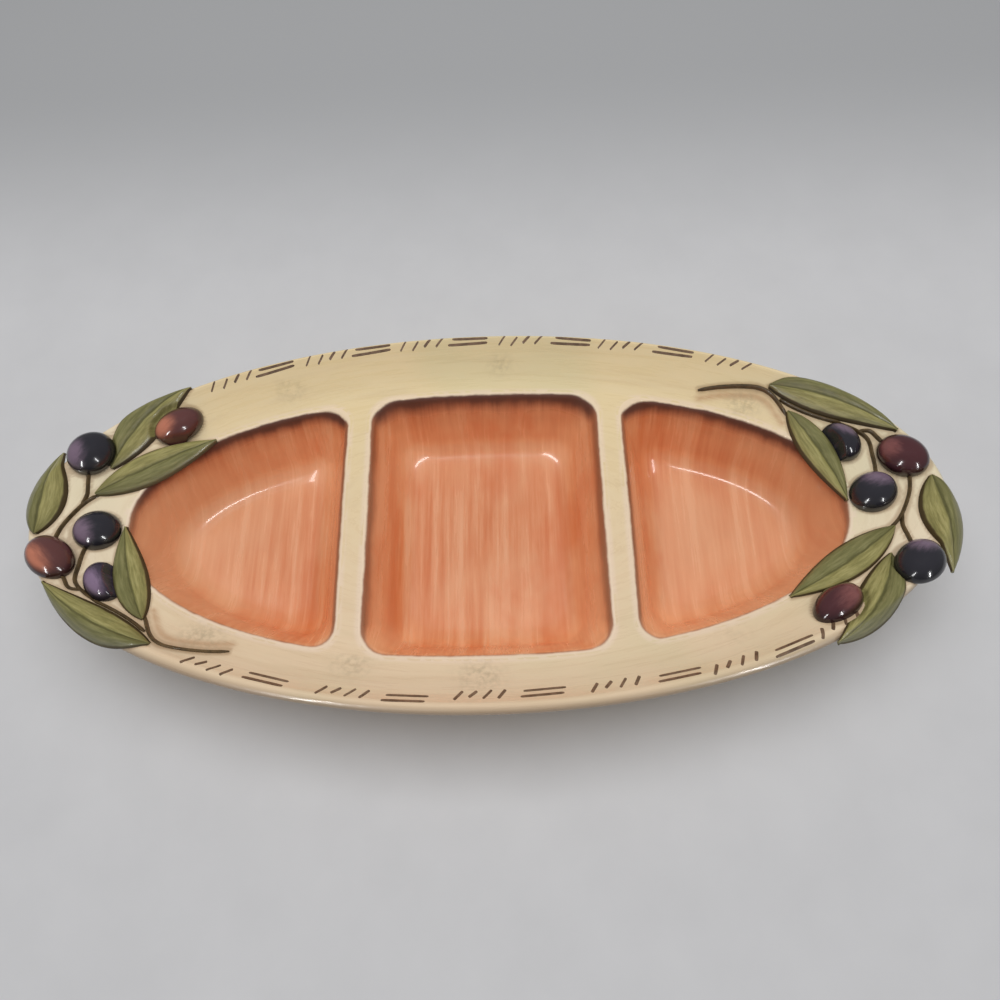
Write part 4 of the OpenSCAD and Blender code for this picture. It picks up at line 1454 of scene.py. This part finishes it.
def stroke_guides(name, places, far):
    """A point for each group of strokes, with the turn of the rim there."""
    x, r = np.array(places, float).T
    angle = np.arccos(x / r) * (1 if far else -1)
    y = r * RIM_RATIO * np.sin(angle)
    way = np.column_stack([np.abs(np.sin(angle)), -RIM_RATIO * np.cos(angle) * np.sign(np.sin(angle))])
    mesh = bpy.data.meshes.new(name)
    mesh.from_pydata(np.column_stack([x, y, np.zeros(len(x))]).tolist(), [], [])
    layer = mesh.attributes.new("turn", "FLOAT", "POINT")
    layer.data.foreach_set("value", np.arctan2(way[:, 1], way[:, 0]))
    guide = bpy.data.objects.new(name, mesh)
    bpy.context.scene.collection.objects.link(guide)
    return guide


STROKE_TREE = stroke_tree()


def rim_strokes(name, places, far, seed):
    """The strokes on one side, laid down on the rim's upper face."""
    guide = stroke_guides(name + "_guide", places, far)
    modifier = guide.modifiers.new("strokes", "NODES")
    modifier.node_group = STROKE_TREE
    sockets = {s.name: s.identifier for s in STROKE_TREE.interface.items_tree if s.in_out == "INPUT"}
    modifier[sockets["Seed"]] = seed
    modifier[sockets["Paint"]] = STROKE
    for label, size in (FAR_SIZES if far else NEAR_SIZES).items():
        modifier[sockets[label]] = size
    bpy.context.view_layer.update()
    shaped = guide.evaluated_get(bpy.context.evaluated_depsgraph_get())
    mesh = bpy.data.meshes.new_from_object(shaped)
    guide.modifiers.clear()
    bpy.data.objects.remove(guide)
    mesh.name = name
    points = np.empty(len(mesh.vertices) * 3)
    mesh.vertices.foreach_get("co", points)
    points = points.reshape(-1, 3)
    points[:, 2] += rim_top(points[:, 0] / MM, points[:, 1] / MM) * MM
    mesh.vertices.foreach_set("co", points.ravel())
    set_in_frame(name, mesh, STROKE, [])


rim_strokes("far_rim_strokes", FAR_STROKES, far=True, seed=5)
rim_strokes("near_rim_strokes", NEAR_STROKES, far=False, seed=11)


def photo_camera():
    """The camera, as the photograph's outline gives it."""
    raised = math.radians(66.0)
    roll = math.radians(-4.40)
    sideways = math.radians(2.98)
    distance = 0.3523
    aside = 0.0071
    above = 0.0064
    back = Vector((0, -math.cos(raised), math.sin(raised)))
    right = Vector((1, 0, 0))
    up = back.cross(right)
    place = back * distance + right * aside + up * above
    rolled_right = right * math.cos(roll) + up * math.sin(roll)
    rolled_up = up * math.cos(roll) - right * math.sin(roll)
    turn = Matrix.Rotation(sideways, 3, "Z")
    axes = [turn @ v for v in (rolled_right, rolled_up, back)]
    stand = Matrix(axes).transposed().to_4x4()
    stand.translation = turn @ place + Vector((0, 0, LIP_Z * MM))
    data = bpy.data.cameras.new("photo camera")
    data.sensor_width = 36.0
    data.lens = 28.8
    data.clip_start = 0.01
    camera = bpy.data.objects.new("photo camera", data)
    camera.matrix_world = stand
    bpy.context.scene.collection.objects.link(camera)
    bpy.context.scene.camera = camera


def soft_light(name, place, aim, width, height, power):
    data = bpy.data.lights.new(name, "AREA")
    data.shape = "RECTANGLE"
    data.size = width
    data.size_y = height
    data.energy = power
    lamp = bpy.data.objects.new(name, data)
    lamp.location = place
    lamp.rotation_euler = (Vector(aim) - Vector(place)).to_track_quat("-Z", "Y").to_euler()
    bpy.context.scene.collection.objects.link(lamp)
    return lamp


def pale_floor():
    half = 6
    corners = [(-half, -half, 0), (half, -half, 0), (half, half, 0), (-half, half, 0)]
    mesh = bpy.data.meshes.new("table")
    mesh.from_pydata(corners, [], [(0, 1, 2, 3)])
    floor = bpy.data.objects.new("table", mesh)
    bpy.context.scene.collection.objects.link(floor)
    material, paint = finish_named("table paper")
    place = paint.place()
    grain = paint.noise(place, 30.0)
    colour = paint.ramp(grain, (0.3, (206, 206, 208)), (0.7, (210, 210, 212)))
    # Painted shade: the floor turns darker further back
    behind = paint.smooth(paint.axes(place)["Y"], 0.13, 0.34)
    colour = paint.mix(behind, colour, tone(172, 173, 175))
    paint.glaze(colour, 0.7, paint.bump(grain, 0.02))
    mesh.materials.append(material)


# The bars that gleam in the wells hang at one height and have one width, in metres
BAR_HEIGHT = 1.02
BAR_WIDTH = 0.1


def only_for(lamp, pieces):
    """Lets a lamp that only gives highlights reach a few pieces."""
    group = bpy.data.collections.new(lamp.name + " pieces")
    for piece in pieces:
        group.objects.link(bpy.data.objects[piece])
    lamp.light_linking.receiver_collection = group
    lamp.visible_diffuse = False


def bar_light(name, x, y, turn, length, power, lining):
    """A bar that looks straight down, turned by some degrees about the vertical, for one well's lining."""
    bar = soft_light(name, (x, y, BAR_HEIGHT), (x, y, 0), length, BAR_WIDTH, power)
    bar.rotation_euler = (0, 0, math.radians(turn))
    only_for(bar, [lining])


def studio():
    world = bpy.data.worlds.new("studio")
    world.use_nodes = True
    sky = world.node_tree.nodes["Background"]
    sky.inputs["Color"].default_value = (1.0, 1.0, 1.0, 1.0)
    sky.inputs["Strength"].default_value = 0.22
    bpy.context.scene.world = world
    box = soft_light("top softbox", (0.0, 0.15, 1.4), (0, 0.05, 0), width=1.7, height=1.1, power=17.0)
    box.visible_glossy = False
    linings = {well: well + "_peach_lining" for well in FLOOR_MIDDLES}
    rest = [p.name for p in bpy.context.scene.objects if p.type == "MESH" and p.name not in linings.values()]
    for name, x in (("left strip", -0.42), ("right strip", 0.60)):
        strip = soft_light(name, (x, -0.75, 0.40), (0, 0, 0.04), width=0.035, height=0.5, power=3.2)
        only_for(strip, rest)
    # Each bar: its place, turn, length and power, and the lining that it lights
    for well, way in (("left", 1), ("right", -1)):
        bar_light(well + " well bar", 0.009 * way, -0.22, 31 * way, 0.34, 1.6, linings[well])
        bar_light(well + " corner bar", 0.35 * way, -0.05, 45 * way, 0.57, 2.7, linings["middle"])
    bar_light("left divider bar", -0.53, -0.165, 82, 0.69, 2.6, linings["left"])
    bar_light("right divider bar", 0.82, -0.14, 106, 0.69, 2.6, linings["right"])
    bpy.context.scene.view_settings.view_transform = "Standard"


photo_camera()
pale_floor()
studio()
